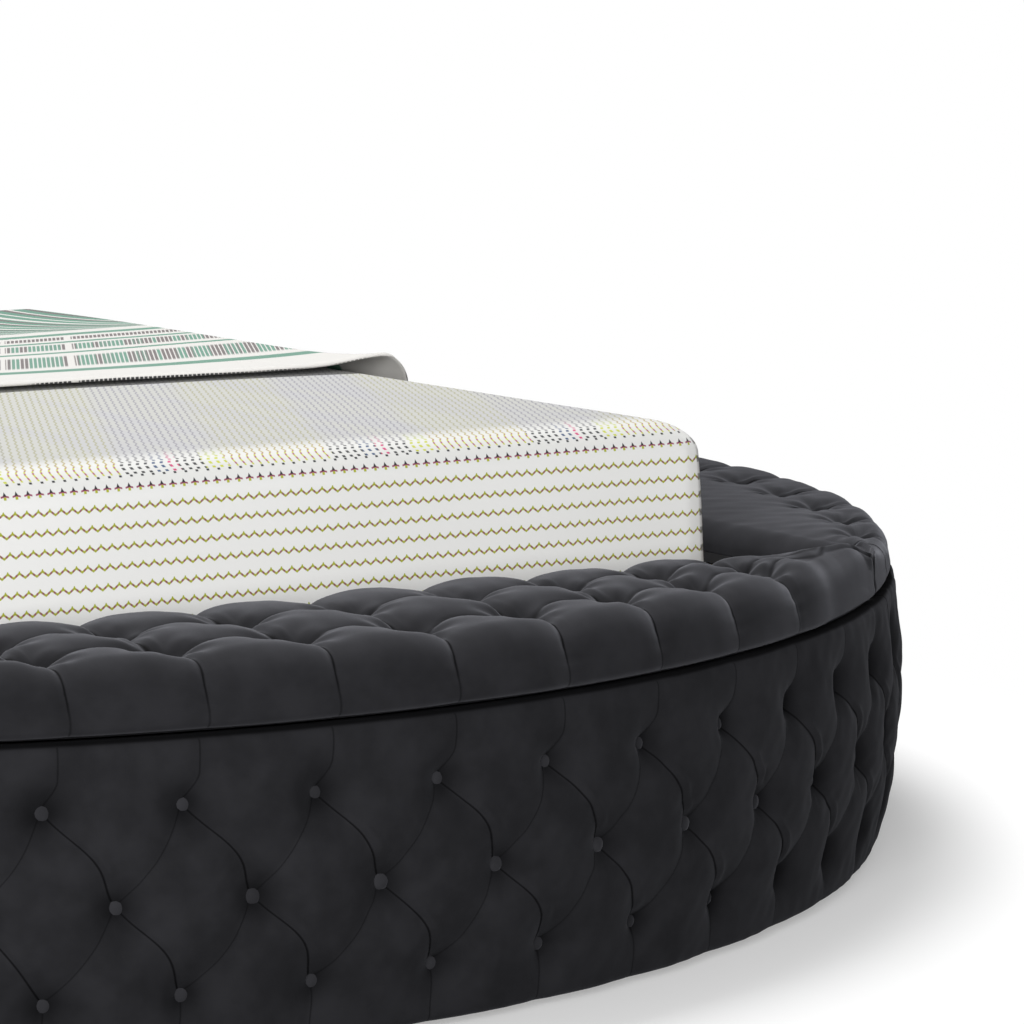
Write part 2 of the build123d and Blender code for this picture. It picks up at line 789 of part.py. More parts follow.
footprint_half = headboard_half_angle + joint_gap_angle
footprint_front = headboard_front - headboard_puff - deck_clearance
footprint = arc_wall(footprint_front, outer_radius + overrun, footprint_half,
                     rim_height, lid_top + cushion_rise + overrun)
footprint_limit = footprint_front - button_radius - tuft_depth
deck_tufts = [point for point in lid_tufts(end_chord, -foot_tip, foot_tip, end_form)
              if point.X**2 + point.Y**2 < footprint_limit**2]
deck_pad = cushion(end_chord, -foot_tip, foot_tip, end_form) - footprint
deck_pad, deck_buttons = tufted(deck_pad, [up_plane(point) for point in deck_tufts])
write("head_deck_cushion", turned(deck_pad, turns["head"]))
write("head_deck_buttons", Compound([turned(b, turns["head"]) for b in deck_buttons]))

# Headboard on the deck

arch_half = headboard_back * sin(radians(headboard_half_angle))
arch_radius = (arch_half**2 + headboard_end_drop**2) / (2 * headboard_end_drop)


def arch_top(across, inset=0):
    """Height of the headboard's arched top at a sideways offset."""
    return headboard_top - arch_radius + circle_reach(arch_radius, across) - inset


def headboard_panel_shape():
    """The curved board inside the headboard, with an arched top."""
    wall = arc_wall(shell_inner, headboard_outer, headboard_half_angle - joint_gap_angle,
                    lid_top, headboard_top)
    low = headboard_top - arch_radius
    arch = Plane.XZ * Pos(0, low - panel_inset) * Circle(arch_radius)
    return wall & extrude(arch, outer_radius + overrun)


def headboard_section(angle):
    """Upright section of the headboard's front pad, seen from the middle of the foot side."""
    share = column_share(angle)
    top = arch_top(wall_radius * sin(radians(angle)))
    tall = top - headboard_base
    heights = [headboard_base + tall * place for place in headboard_rows_share]
    heights = [headboard_base] + heights + [top - headboard_roll]
    depths = [0]
    for row in range(len(headboard_rows_share)):
        depths.append(headboard_tuft_depth * (share if row % 2 == 0 else 1 - share))
    depths.append(0)
    steps = [(polar(wall_radius, angle, headboard_base),)]
    steps.append((polar(headboard_front, angle, headboard_base),))
    for index in range(len(heights) - 1):
        z = (heights[index] + heights[index + 1]) / 2
        depth = (depths[index] + depths[index + 1]) / 2 - headboard_puff
        middle = polar(headboard_front + depth, angle, z)
        end = polar(headboard_front + depths[index + 1], angle, heights[index + 1])
        steps.append((middle, end))
    bend = (1 - sqrt(0.5)) * headboard_roll
    steps.append((polar(headboard_front + bend, angle, top - bend),
                  polar(headboard_front + headboard_roll, angle, top)))
    steps.append((polar(wall_radius, angle, top),))
    return closed_wire(steps)


def headboard_back_section(angle):
    """Upright section of the plain pad on the back of the headboard."""
    inner = outside_chords(headboard_outer + soft_gap)
    top = arch_top(wall_radius * sin(radians(angle)))
    roll = headboard_back_pad / 2
    shoulder = headboard_back - roll / 2
    bend = (1 - sqrt(0.5)) * roll
    steps = [(polar(inner, angle, top),), (polar(inner, angle, headboard_base),)]
    steps.append((polar(headboard_back - roll, angle, headboard_base),))
    steps.append((polar(headboard_back, angle, (headboard_base + top) / 2),
                  polar(shoulder, angle, top - roll)))
    steps.append((polar(shoulder - bend, angle, top - bend),
                  polar(shoulder - roll, angle, top)))
    return closed_wire(steps)


def headboard_tuft_planes():
    """Planes of the headboard's buttons, which look at the centre of the bed."""
    planes = []
    reach = int(headboard_half_angle / half_column)
    for step in range(-reach, reach + 1):
        angle = step * half_column
        if abs(angle) > headboard_half_angle - column_angle * headboard_end_share:
            continue
        top = arch_top(wall_radius * sin(radians(angle)))
        for row, place in enumerate(headboard_rows_share):
            if (step + row) % 2 == 0:
                z = headboard_base + (top - headboard_base) * place
                plane = radial_plane(headboard_front + headboard_tuft_depth, angle, z)
                planes.append(Plane(origin=plane.origin, x_dir=(0, 0, 1), z_dir=-plane.z_dir))
    return planes


pad_half = headboard_half_angle - joint_gap_angle
headboard_angles = skirt_angles(-pad_half, pad_half)
front_pad = Solid.make_loft([headboard_section(a) for a in headboard_angles], ruled=True)
pocket_front = -upright_flat + upright_thickness + bolt_head_height + fit_gap
pocket = block(-upright_width / 2 - fit_gap, upright_width / 2 + fit_gap,
               -wall_radius - overrun, pocket_front, 0, upright_high + fit_gap)
pockets = [turned(pocket, angle) for angle in (-upright_angle, upright_angle)]
front_pad, board_buttons = tufted(front_pad - pockets, headboard_tuft_planes())
back_pad = Solid.make_loft([headboard_back_section(a) for a in headboard_angles], ruled=True)
write("headboard_pad", turned(front_pad, turns["head"]))
write("headboard_back_pad", turned(back_pad, turns["head"]))
write("headboard_buttons", Compound([turned(b, turns["head"]) for b in board_buttons]))
write("headboard_panel", turned(headboard_panel_shape(), turns["head"]) - upright_holes)

upright = block(-upright_width / 2, upright_width / 2, -upright_flat,
                -upright_flat + upright_thickness, upright_low, upright_high)
write("headboard_uprights", Compound([turned(upright - upright_bolt_set(bolt_gap), angle)
                                      for angle in upright_places]))
write("headboard_bolts", Compound([turned(bolt, angle) for angle in upright_places
                                   for bolt in upright_bolt_set()]))

# Mattress and blanket

mattress = block(-mattress_width / 2, mattress_width / 2, -mattress_length / 2,
                 mattress_length / 2, slat_top, mattress_top)
mattress = fillet(mattress.edges().filter_by(Axis.Z), mattress_corner)
top_edges = mattress.edges().group_by(Axis.Z)[-1]
mattress = fillet(top_edges, mattress_edge)
write("mattress", mattress)


def blanket_section(y, fold):
    """Section of the blanket across the bed, its hanging sides swung out by a fold."""
    steps = []
    inner = mattress_width / 2 + blanket_gap
    low = mattress_top + blanket_gap
    hem = low - blanket_drop
    swing = fold * blanket_fold_depth

    def half_path(side, offset, reverse):
        face = inner + offset
        top = low + offset
        radius = mattress_edge + offset
        bend = (1 - sqrt(0.5)) * radius
        points = [((side * (face + swing), y, hem),), ((side * face, y, top - radius),),
                  ((side * (face - bend), y, top - bend), (side * (face - radius), y, top))]
        if not reverse:
            return [tuple(Vector(*point) for point in step) for step in points]
        back = [((side * (face - radius), y, top),),
                ((side * (face - bend), y, top - bend), (side * face, y, top - radius)),
                ((side * (face + swing), y, hem),)]
        return [tuple(Vector(*point) for point in step) for step in back]

    steps += half_path(-1, 0, False)
    steps += half_path(1, 0, True)
    steps += half_path(1, blanket_thickness, False)
    steps += half_path(-1, blanket_thickness, True)
    return closed_wire(steps)


blanket_stations = even_list(blanket_foot_edge, blanket_head_edge, 2 * blanket_folds + 1)
write("blanket", Solid.make_loft([blanket_section(y, index % 2)
                                  for index, y in enumerate(blanket_stations)], ruled=True))
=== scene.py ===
import json
from math import cos, pi, radians, sin

import bpy
import numpy as np
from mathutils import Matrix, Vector


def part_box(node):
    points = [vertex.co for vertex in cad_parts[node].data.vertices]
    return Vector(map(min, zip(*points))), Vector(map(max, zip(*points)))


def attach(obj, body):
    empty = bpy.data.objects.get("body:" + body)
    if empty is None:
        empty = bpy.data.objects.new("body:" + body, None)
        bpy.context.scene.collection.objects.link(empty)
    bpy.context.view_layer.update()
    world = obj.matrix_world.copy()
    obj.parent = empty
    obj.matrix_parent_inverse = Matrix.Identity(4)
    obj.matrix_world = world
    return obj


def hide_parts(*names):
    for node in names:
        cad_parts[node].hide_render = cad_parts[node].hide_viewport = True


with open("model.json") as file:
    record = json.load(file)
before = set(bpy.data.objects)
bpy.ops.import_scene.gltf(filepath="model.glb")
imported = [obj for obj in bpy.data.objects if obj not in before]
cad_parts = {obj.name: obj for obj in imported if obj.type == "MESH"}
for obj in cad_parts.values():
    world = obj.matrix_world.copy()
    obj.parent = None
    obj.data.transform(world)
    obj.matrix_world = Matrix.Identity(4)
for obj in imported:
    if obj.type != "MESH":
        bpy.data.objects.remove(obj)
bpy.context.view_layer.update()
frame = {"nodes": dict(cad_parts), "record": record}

# Sizes that the soft pieces share with the frame, in metres and degrees
OUTER = 1.490
SIDE_CHORD = 1.000
END_CHORD = 1.100
COLUMNS = 56
COLUMN_ANGLE = 360 / COLUMNS
PITCH = 2 * pi * OUTER / COLUMNS
LID_TOP = 0.415
HEM = 0.4016
SKIRT_LOW = 0.0125
SKIRT_HIGH = 0.3966
SKIRT_ROWS = (0.085, 0.315)
ROW_STEP = (SKIRT_ROWS[1] - SKIRT_ROWS[0]) / 2
SKIRT_MIDDLE = SKIRT_ROWS[0] + ROW_STEP
SKIRT_FULLNESS = 0.0105
SKIRT_BACK = 1.449
ROLL_SHARE = 0.42
TIP_TAPER = 0.085

# Forms of the cushions: crown height at the middle (rise) and towards the tips, width of the inner
# and outer roll, depth at a button (tuft), which rows of buttons there are, share of the height
# left at the very tip (end), sideways offset where the relief stops (plain), and relief depths
END_FORM = {"rise": 0.069, "tip": 0.0660, "inner": 0.044, "outer": 0.050, "tuft": 0.026,
            "rows": (1, 1), "end": 0.60, "plain": 0.825, "creases": 0.0019,
            "seam": 0.0130, "valley": 0.0135, "pit": 0.020}
SIDE_FORM = {"rise": 0.045, "tip": 0.045, "inner": 0.032, "outer": 0.034, "tuft": 0.018,
             "rows": (0, 1), "end": 1.0, "plain": 1.020, "creases": 0.0008,
             "seam": 0.0060, "valley": 0.0030, "pit": 0.015}
CORNER_FORM = {**SIDE_FORM, "rows": (0, 0)}
LID_ROWS = (0.34, 0.80)

# Offsets of the button columns from the centre line, in columns
PHOTO_SHIFT = 0.10
LID_SHIFT = 0.25

# Clearance between neighbours and distance between mesh points
GAP = 0.0006
FINE = 0.0042

MATTRESS_LOW, MATTRESS_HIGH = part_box("mattress")
BLANKET_LOW, BLANKET_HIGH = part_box("blanket")
TURNS = {"foot": 0.0, "right": 90.0, "head": 180.0, "left": -90.0}


# Meshes built from grids of points

# Values the velvet reads from each mesh to place its painted shade: pleat lines, where they show,
# nearness to a button, and height.
MARKS = {"line_a": 0.5, "line_b": 0.5, "line_c": 0.5, "inside": 0.0, "dimple": 0.0,
         "height": SKIRT_HIGH}


def smooth_piece(name, points, faces):
    """A new object from points and faces, shaded smoothly."""
    mesh = bpy.data.meshes.new(name)
    mesh.from_pydata(points, [], faces)
    mesh.polygons.foreach_set("use_smooth", np.ones(len(mesh.polygons), bool))
    piece = bpy.data.objects.new(name, mesh)
    bpy.context.scene.collection.objects.link(piece)
    return piece


def grid_mesh(name, grid, marks=(), flip=False):
    """A piece from stations of section points, closed round each section and capped at the ends.

    The marks hold, for each station, rows of the values that the materials read, in the order of
    MARKS. Two hidden points close each section. A flipped piece turns its faces the other way.
    """
    step = -1 if flip else 1
    stations, count = grid.shape[:2]
    index = np.arange(stations * count).reshape(stations, count)
    after = np.roll(index, -1, axis=1)
    quads = np.stack([index[:-1], index[1:], after[1:], after[:-1]], axis=-1).reshape(-1, 4)
    faces = quads.tolist() + [index[0].tolist(), index[-1][::-1].tolist()]
    piece = smooth_piece(name, grid[:, ::step].reshape(-1, 3).tolist(), faces)
    for (key, fill), rows in zip(MARKS.items(), zip(*marks)):
        values = np.array([np.append(row, [fill, fill])[::step] for row in rows], np.float32)
        layer = piece.data.attributes.new(key, "FLOAT", "POINT")
        layer.data.foreach_set("value", values.ravel())
    return piece


def turned(points, angle):
    """Points turned about the upright axis of the bed."""
    c, s = cos(radians(angle)), sin(radians(angle))
    out = points.copy()
    out[..., 0] = points[..., 0] * c - points[..., 1] * s
    out[..., 1] = points[..., 0] * s + points[..., 1] * c
    return out


def around(angle, radius, z):
    """Points at an angle in degrees from the foot, at a radius and a height."""
    turn = np.radians(angle)
    return np.stack(np.broadcast_arrays(radius * np.sin(turn), -radius * np.cos(turn), z), axis=-1)


def unit(vectors):
    """The same directions, all of length 1."""
    return vectors / np.maximum(np.linalg.norm(vectors, axis=-1, keepdims=True), 1e-9)


def wrap(values):
    """Distance to the nearest whole number, with its sign."""
    return values - np.round(values)


def ease(values):
    """Smooth step from 0 to 1."""
    t = np.clip(values, 0, 1)
    return t * t * (3 - 2 * t)


def waves(u, v, count, low, high, seed):
    """A smooth, seeded, uneven field about 1 high."""
    source = np.random.default_rng(seed)
    total = np.zeros(np.broadcast(u, v).shape)
    for _ in range(count):
        angle = source.uniform(0, 2 * pi)
        scale = source.uniform(low, high)
        phase = source.uniform(0, 2 * pi)
        total += np.sin(scale * (u * cos(angle) + v * sin(angle)) + phase)
    return total / count ** 0.5


def groove(distance, depth, width):
    """Depth of a sharp groove at a distance from its line."""
    return depth * np.exp(-distance / width)


def pit(distance, depth, width, power):
    """Depth of the pit round a button."""
    return depth * np.exp(-(distance / width) ** power)


def hill(place, height, middle, width):
    """Height of a soft ridge about a middle."""
    return height * np.exp(-((place - middle) / width) ** 2)


def dimple_shade(distance):
    """1 at a button's centre, falling to 0 about two button widths away."""
    return pit(distance, 1.0, 0.024, 1.6)


# Tufted relief of the skirt

SKIRT_PROFILE = ((0.012, -0.020), (0.185, 0.012), (0.396, 0.0))
SKIRT_ROLL = 0.006
SKIRT_ROLL_REACH = 0.010


def skirt_radius(z):
    """Radius of the untufted skirt: a gentle belly between the floor edge and the seam."""
    return OUTER + np.polyval(np.polyfit(*zip(*SKIRT_PROFILE), 2), z)


def skirt_relief(s, z):
    """Depth of the skirt below its untufted face, with its pleat coordinates.

    s counts button columns and q rows from the top. a, b and c are whole at the slanted and the
    upright pleats.
    """
    q = (SKIRT_ROWS[1] - z) / ROW_STEP
    qc = np.clip(q, 0, 2)
    drift = 0.010 * waves(s * 2.1, z * 30, 5, 0.6, 1.6, 3)
    uneven = 0.8 + 0.35 * waves(np.round(s - 0.5 * qc), qc * 0, 4, 1, 3, 5)
    still = np.sin(pi * qc) ** 2
    bow = 0.085 * still * uneven
    a = s - 0.5 * qc - bow + drift * still
    b = s + 0.5 * qc - 0.030 * still + drift * still
    c = s - 0.10 * ease(-q / 0.35) * (q < 0) + 0.05 * ease((q - 2) / 0.5) * (q > 2)
    past = np.abs(q - qc) * ROW_STEP
    slant = 0.80
    da = np.hypot(wrap(a) * PITCH * slant, past)
    db = np.hypot(wrap(b) * PITCH * slant, past)
    dc_top = np.hypot(wrap(c) * PITCH, np.maximum(q, 0) * ROW_STEP)
    dc_low = np.hypot(wrap(c) * PITCH, np.maximum(2 - q, 0) * ROW_STEP)
    dt = tuft_distance(s, z)
    flat = 1 - 0.75 * ease((z - 0.335) / 0.05)
    flat_low = 1 - 0.55 * ease((0.070 - z) / 0.05)
    depth = groove(da, 0.0085, 0.020) + groove(db, 0.0065, 0.022)
    depth += groove(dc_top, 0.0070, 0.022) * flat + groove(dc_low, 0.0065, 0.022) * flat_low
    depth -= hill(wrap(a) * PITCH * slant, 0.0042, 0.008, 0.006) * still * np.exp(-past / 0.010)
    depth += pit(dt, 0.0160, 0.026, 1.25) - SKIRT_FULLNESS
    theta = np.arctan2(z - SKIRT_MIDDLE, wrap(s) * PITCH)
    rays = np.sin(theta * 9 + 6 * waves(np.round(s), np.round(q), 3, 1, 3, 9))
    depth += rays * hill(dt, 0.0010, 0.036, 0.020)
    depth += 0.0011 * waves(s * 5.0, z * 36, 7, 0.7, 2.2, 21)
    depth += 0.0004 * waves(s * 22, z * 90, 8, 0.7, 2.0, 22)
    inside = ease((q + 0.02) / 0.06) * ease((2.02 - q) / 0.06)
    return depth, a, b, c, inside, dt


def tuft_distance(s, z):
    """Distance to the nearest button of the skirt."""
    low = np.hypot(wrap(s) * PITCH, z - SKIRT_ROWS[0])
    high = np.hypot(wrap(s) * PITCH, z - SKIRT_ROWS[1])
    middle = np.hypot(wrap(s - 0.5) * PITCH, z - SKIRT_MIDDLE)
    return np.minimum(np.minimum(low, high), middle)


def build_skirt(name, low, high):
    """One tufted skirt pad between two angles, with a plain back."""
    steps = int((high - low) / 360 * 2 * pi * OUTER / FINE)
    angles = np.linspace(low, high, steps)
    z = np.linspace(SKIRT_LOW, SKIRT_HIGH, int((SKIRT_HIGH - SKIRT_LOW) / FINE))
    aa, zz = np.meshgrid(angles, z, indexing="ij")
    s = aa / COLUMN_ANGLE - PHOTO_SHIFT
    depth, a, b, c, inside, dt = skirt_relief(s, zz)
    edge = np.minimum(zz - SKIRT_LOW, SKIRT_HIGH - zz)
    flatness = 1 - np.clip(edge / SKIRT_ROLL_REACH, 0, 1)
    radius = skirt_radius(zz) - depth - SKIRT_ROLL * (1 - np.sqrt(1 - flatness ** 2))
    back = around(angles[:, None], SKIRT_BACK, np.array([SKIRT_HIGH, SKIRT_LOW]))
    grid = np.concatenate([around(aa, radius, zz), back], axis=1)
    return grid_mesh(name, grid, zip(a, b, c, inside, dimple_shade(dt), zz), flip=True)


# Tufted cushions on the lids, the head deck and the corners

ROLL_POINTS = 12
TOP_POINTS = 90
FRONT_POINTS = 22
REACH_START = 1.070
REACH_STEP = 0.020
BASE_INSET = 0.0235


def lid_front(x):
    """Distance from the centre line to the round front of a cushion, at a sideways offset."""
    return np.sqrt(np.maximum(OUTER ** 2 - x ** 2, 0))


def lid_rise(width, chord, form):
    """Height of a cushion's crown above its board, lower towards the tips of the end lids."""
    fullness = 1 - (1 - width / (OUTER - chord)) ** 2
    rise = form["tip"] + (form["rise"] - form["tip"]) * fullness
    return rise * (form["end"] + (1 - form["end"]) * ease(width / TIP_TAPER))


def base_section(width, rise, form):
    """Untufted section of a cushion from its inner foot over the top to its front hem."""
    roll_in = min(form["inner"], width * ROLL_SHARE)
    roll_out = min(form["outer"], width * ROLL_SHARE)
    tall_in = min(form["inner"], rise * 0.9)
    tall_out = min(form["outer"], rise * 0.9)
    top = LID_TOP + rise
    turn = np.linspace(0, pi / 2, ROLL_POINTS)
    crown = 0.006
    inner_z = np.linspace(LID_TOP + GAP, top - tall_in, ROLL_POINTS, endpoint=False)
    parts = [np.stack([np.full(ROLL_POINTS, GAP), inner_z], axis=-1)]
    parts.append(np.stack([GAP + roll_in * (1 - np.cos(turn)), top - tall_in * (1 - np.sin(turn))],
                          axis=-1)[:-1])
    flat = np.linspace(roll_in, width - roll_out, TOP_POINTS)
    share = (flat - roll_in) / max(width - roll_out - roll_in, 1e-6)
    parts.append(np.stack([flat, top + crown * np.sin(pi * share)], axis=-1)[:-1])
    parts.append(np.stack([width - roll_out + roll_out * np.sin(turn),
                           top - tall_out * (1 - np.cos(turn))], axis=-1)[:-1])
    front_z = np.linspace(top - tall_out, HEM, FRONT_POINTS)
    down = (front_z[0] - front_z) / (front_z[0] - HEM)
    belly = 0.0025 * np.sin(pi * down) - 0.0045 * ease((down - 0.75) / 0.25)
    parts.append(np.stack([width + belly, front_z], axis=-1))
    return np.concatenate(parts)


def normals_of(section):
    """Outward normals along a section that runs from the inner foot to the front hem."""
    step = np.gradient(section, axis=0)
    return unit(np.stack([-step[:, 1], step[:, 0]], axis=-1))


def build_cushion(name, turn, chord, low, high, form, shift=0.0, corner_reach=0.0):
    """A tufted cushion over the segment beyond a chord, from one sideways offset to another."""
    stations = np.linspace(low, high, max(int((high - low) / FINE), 12))
    rows = form["rows"]
    two_rows = rows[0] == 1
    tufted = rows[1] == 1
    sections, marks = [], []
    for x in stations:
        inner = chord - corner_reach * ease((abs(x) - REACH_START) / REACH_STEP)
        width = lid_front(x) - inner
        rise = lid_rise(width, chord, form)
        section = base_section(width, rise, form)
        out = normals_of(section)
        s = np.degrees(np.arcsin(x / OUTER)) / COLUMN_ANGLE - shift
        size = min(1.0, width / (form["inner"] + form["outer"] + form["tuft"]))
        across = section[:, 0]
        flat_low = min(form["inner"], width * ROLL_SHARE)
        flat_high = width - min(form["outer"], width * ROLL_SHARE)
        places = [flat_low + (flat_high - flat_low) * p for p in LID_ROWS]
        slope = max(cos(np.arcsin(min(abs(x) / OUTER, 0.99))), 0.3)
        seam_x = wrap(s) * PITCH * slope
        gate = np.ones(len(across))
        if not two_rows:
            gate = ease((across - places[1] + 0.035) / 0.05) if tufted else gate * 0
        ahead = across - places[1]
        bend = 0.06 * np.sin(np.clip(ahead / 0.12, 0, 1) * pi) * (1 + 0.5 * sin(3.1 * round(s)))
        seam_line = wrap(s - bend) * PITCH * slope
        depth = groove(np.abs(seam_line), form["seam"], 0.021) * gate
        near_row = hill(across, 1, places[1], 0.055) + hill(across, 1, places[0], 0.055) * two_rows
        depth -= gate * near_row * hill(np.abs(seam_line), 0.0026, 0.0115, 0.0050)
        low_front = ease((LID_TOP + rise * 0.62 - section[:, 1]) / 0.04) * (ahead > 0)
        depth *= 1 - 0.72 * low_front
        valleys = [np.full(len(across), 0.5) for _ in places]
        dimple = np.zeros(len(across))
        for row, place in enumerate(places):
            if not rows[row]:
                continue
            sag = 0.016 * (np.cos(2 * pi * s) - 0.4)
            away = across - place - (sag if two_rows else 0)
            dt = np.hypot(seam_x, across - place)
            theta = np.arctan2(across - place, seam_x)
            rays = np.sin(theta * 7 + 5 * sin(2.3 * round(s) + row))
            tuft = groove(np.abs(away), form["valley"], 0.025) + pit(dt, form["pit"], 0.032, 1.3)
            on_top = section[:, 1] > LID_TOP + rise * 0.55
            depth += size * (tuft + rays * hill(dt, 0.0018, 0.042, 0.022)) * on_top
            dimple = np.maximum(dimple, dimple_shade(dt) * on_top)
            valleys[row] = np.where(on_top & two_rows, away * 10, 0.5)
        rear = ease((0.085 - across) / 0.085) * two_rows * (section[:, 1] > LID_TOP + 0.02)
        depth += groove(np.abs(seam_x), 0.011, 0.032) * rear
        depth -= 0.0090 if two_rows else 0.0030 * gate
        depth += form["creases"] * waves(s * 3, across * 22, 6, 0.7, 2.0, 31)
        depth += 0.0003 * waves(s * 12, across * 80, 6, 0.7, 2.0, 32)
        hold_foot = ease((section[:, 1] - LID_TOP - 0.004) / 0.020)
        hold_hem = ease((section[:, 1] - HEM) / 0.012)
        hold = np.where(across < width / 2, hold_foot, hold_hem)
        calm = ease((form["plain"] - abs(x)) / 0.09)
        moved = section - out * (depth * hold * size ** 2 * calm)[:, None]
        moved[:, 0] = np.maximum(moved[:, 0], GAP)
        base_in = max(np.sqrt(max((OUTER - BASE_INSET) ** 2 - x ** 2, 0)) - inner, width * 0.4)
        under = np.array([[base_in, HEM], [base_in, LID_TOP + GAP]])
        ring = np.concatenate([moved, under])
        sections.append(np.stack([np.full(len(ring), x), -inner - ring[:, 0], ring[:, 1]], axis=-1))
        inside = gate * calm * (1 - 0.45 * low_front)
        marks.append((*valleys, s - bend, inside, dimple * calm))
    return grid_mesh(name, turned(np.array(sections), turn), marks)


# Buttons

BUTTON_RADIUS = 0.0125
BUTTON_HEIGHT = 0.0075
BUTTON_RINGS = 7
BUTTON_SPOKES = 20
BUTTON_MARGIN = 0.02
BUTTON_LIFT = 0.0022
LID_BUTTON_DROP = 0.002


def dome():
    """Points and faces of a fabric-covered button that looks along +Z."""
    points = [(0.0, 0.0, BUTTON_HEIGHT)]
    for ring in range(1, BUTTON_RINGS + 1):
        share = ring / BUTTON_RINGS
        up = BUTTON_HEIGHT * cos(share * pi / 2) ** 0.8
        for angle in np.linspace(0, 2 * pi, BUTTON_SPOKES, endpoint=False):
            out = BUTTON_RADIUS * sin(share * pi / 2) * (1 + 0.03 * cos(angle * 6) * share)
            points.append((out * cos(angle), out * sin(angle), up))
    last = len(points) - BUTTON_SPOKES
    faces = [tuple(range(last + BUTTON_SPOKES - 1, last - 1, -1))]
    for spoke in range(BUTTON_SPOKES):
        after = (spoke + 1) % BUTTON_SPOKES
        faces.append((0, 1 + spoke, 1 + after))
        for first in range(1, last, BUTTON_SPOKES):
            second = first + BUTTON_SPOKES
            faces.append((first + spoke, second + spoke, second + after, first + after))
    return points, faces


def build_buttons(name, places):
    """All the buttons of one group, from (point, outward direction) pairs."""
    points, faces = [], []
    dome_points, dome_faces = dome()
    for centre, out in places:
        turn = Vector(out).to_track_quat("Z", "Y")
        start = len(points)
        points += [tuple(Vector(centre) + turn @ Vector(p)) for p in dome_points]
        faces += [tuple(start + i for i in face) for face in dome_faces]
    return smooth_piece(name, points, faces)


def skirt_button_places():
    """Centres of the skirt's buttons, at the bottom of their dimples."""
    places = []
    for step in range(2 * COLUMNS):
        rows = SKIRT_ROWS if step % 2 == 0 else (SKIRT_MIDDLE,)
        s = step / 2
        angle = (s + PHOTO_SHIFT) * COLUMN_ANGLE
        for z in rows:
            radius = skirt_radius(z) - skirt_relief(s, z)[0] + BUTTON_LIFT
            places.append((around(angle, radius, z), around(angle, 1.0, 0.12)))
    return places


def lid_button_places(turn, chord, low, high, form, shift=0.0, limit=None):
    """Centres of a lid cushion's buttons, at the bottom of their dimples."""
    places = []
    for column in range(-COLUMNS // 4, COLUMNS // 4 + 1):
        x = OUTER * sin(radians((column + shift) * COLUMN_ANGLE))
        width = lid_front(x) - chord
        narrow = 1.2 * (form["inner"] + form["outer"] + form["tuft"])
        if not low + BUTTON_MARGIN < x < high - BUTTON_MARGIN or width < narrow:
            continue
        rise = lid_rise(width, chord, form)
        for row, place in enumerate(LID_ROWS):
            if not form["rows"][row]:
                continue
            across = form["inner"] + (width - form["outer"] - form["inner"]) * place
            if limit is not None and np.hypot(x, chord + across) > limit:
                continue
            z = LID_TOP + rise - form["tuft"] - LID_BUTTON_DROP
            places.append((turned(np.array([x, -chord - across, z]), turn), (0, 0, 1)))
    return places


# Procedural materials


def by_node(operation):
    """A method that leads its value through one arithmetic node."""
    def method(value, *others):
        return value.kit.math(operation, value, *others)
    return method


class Value:
    """A number, colour or vector on its way through a shader, with plain arithmetic."""

    def __init__(self, kit, socket):
        self.kit = kit
        self.socket = socket

    __add__ = by_node("ADD")
    __sub__ = by_node("SUBTRACT")
    __mul__ = by_node("MULTIPLY")
    __truediv__ = by_node("DIVIDE")
    __pow__ = by_node("POWER")
    __lt__ = by_node("LESS_THAN")
    __gt__ = by_node("GREATER_THAN")
    __abs__ = by_node("ABSOLUTE")
    __round__ = by_node("ROUND")
    fraction = by_node("FRACT")
    fold = by_node("PINGPONG")
    larger = by_node("MAXIMUM")
    smaller = by_node("MINIMUM")

    def __rsub__(self, other):
        return self.kit.math("SUBTRACT", other, self)

    def ramp(self, low, high, first=0.0, second=1.0):
        """A smooth step from a first to a second number as the value goes from low to high."""
        return self.kit.run("ShaderNodeMapRange", enumerate((self, low, high, first, second)),
                            interpolation_type="SMOOTHSTEP")

    def fade(self, low, high, start=1.0):
        """A smooth fall from a first number to 0 as the value goes from low to high."""
        return self.ramp(low, high, start, 0.0)


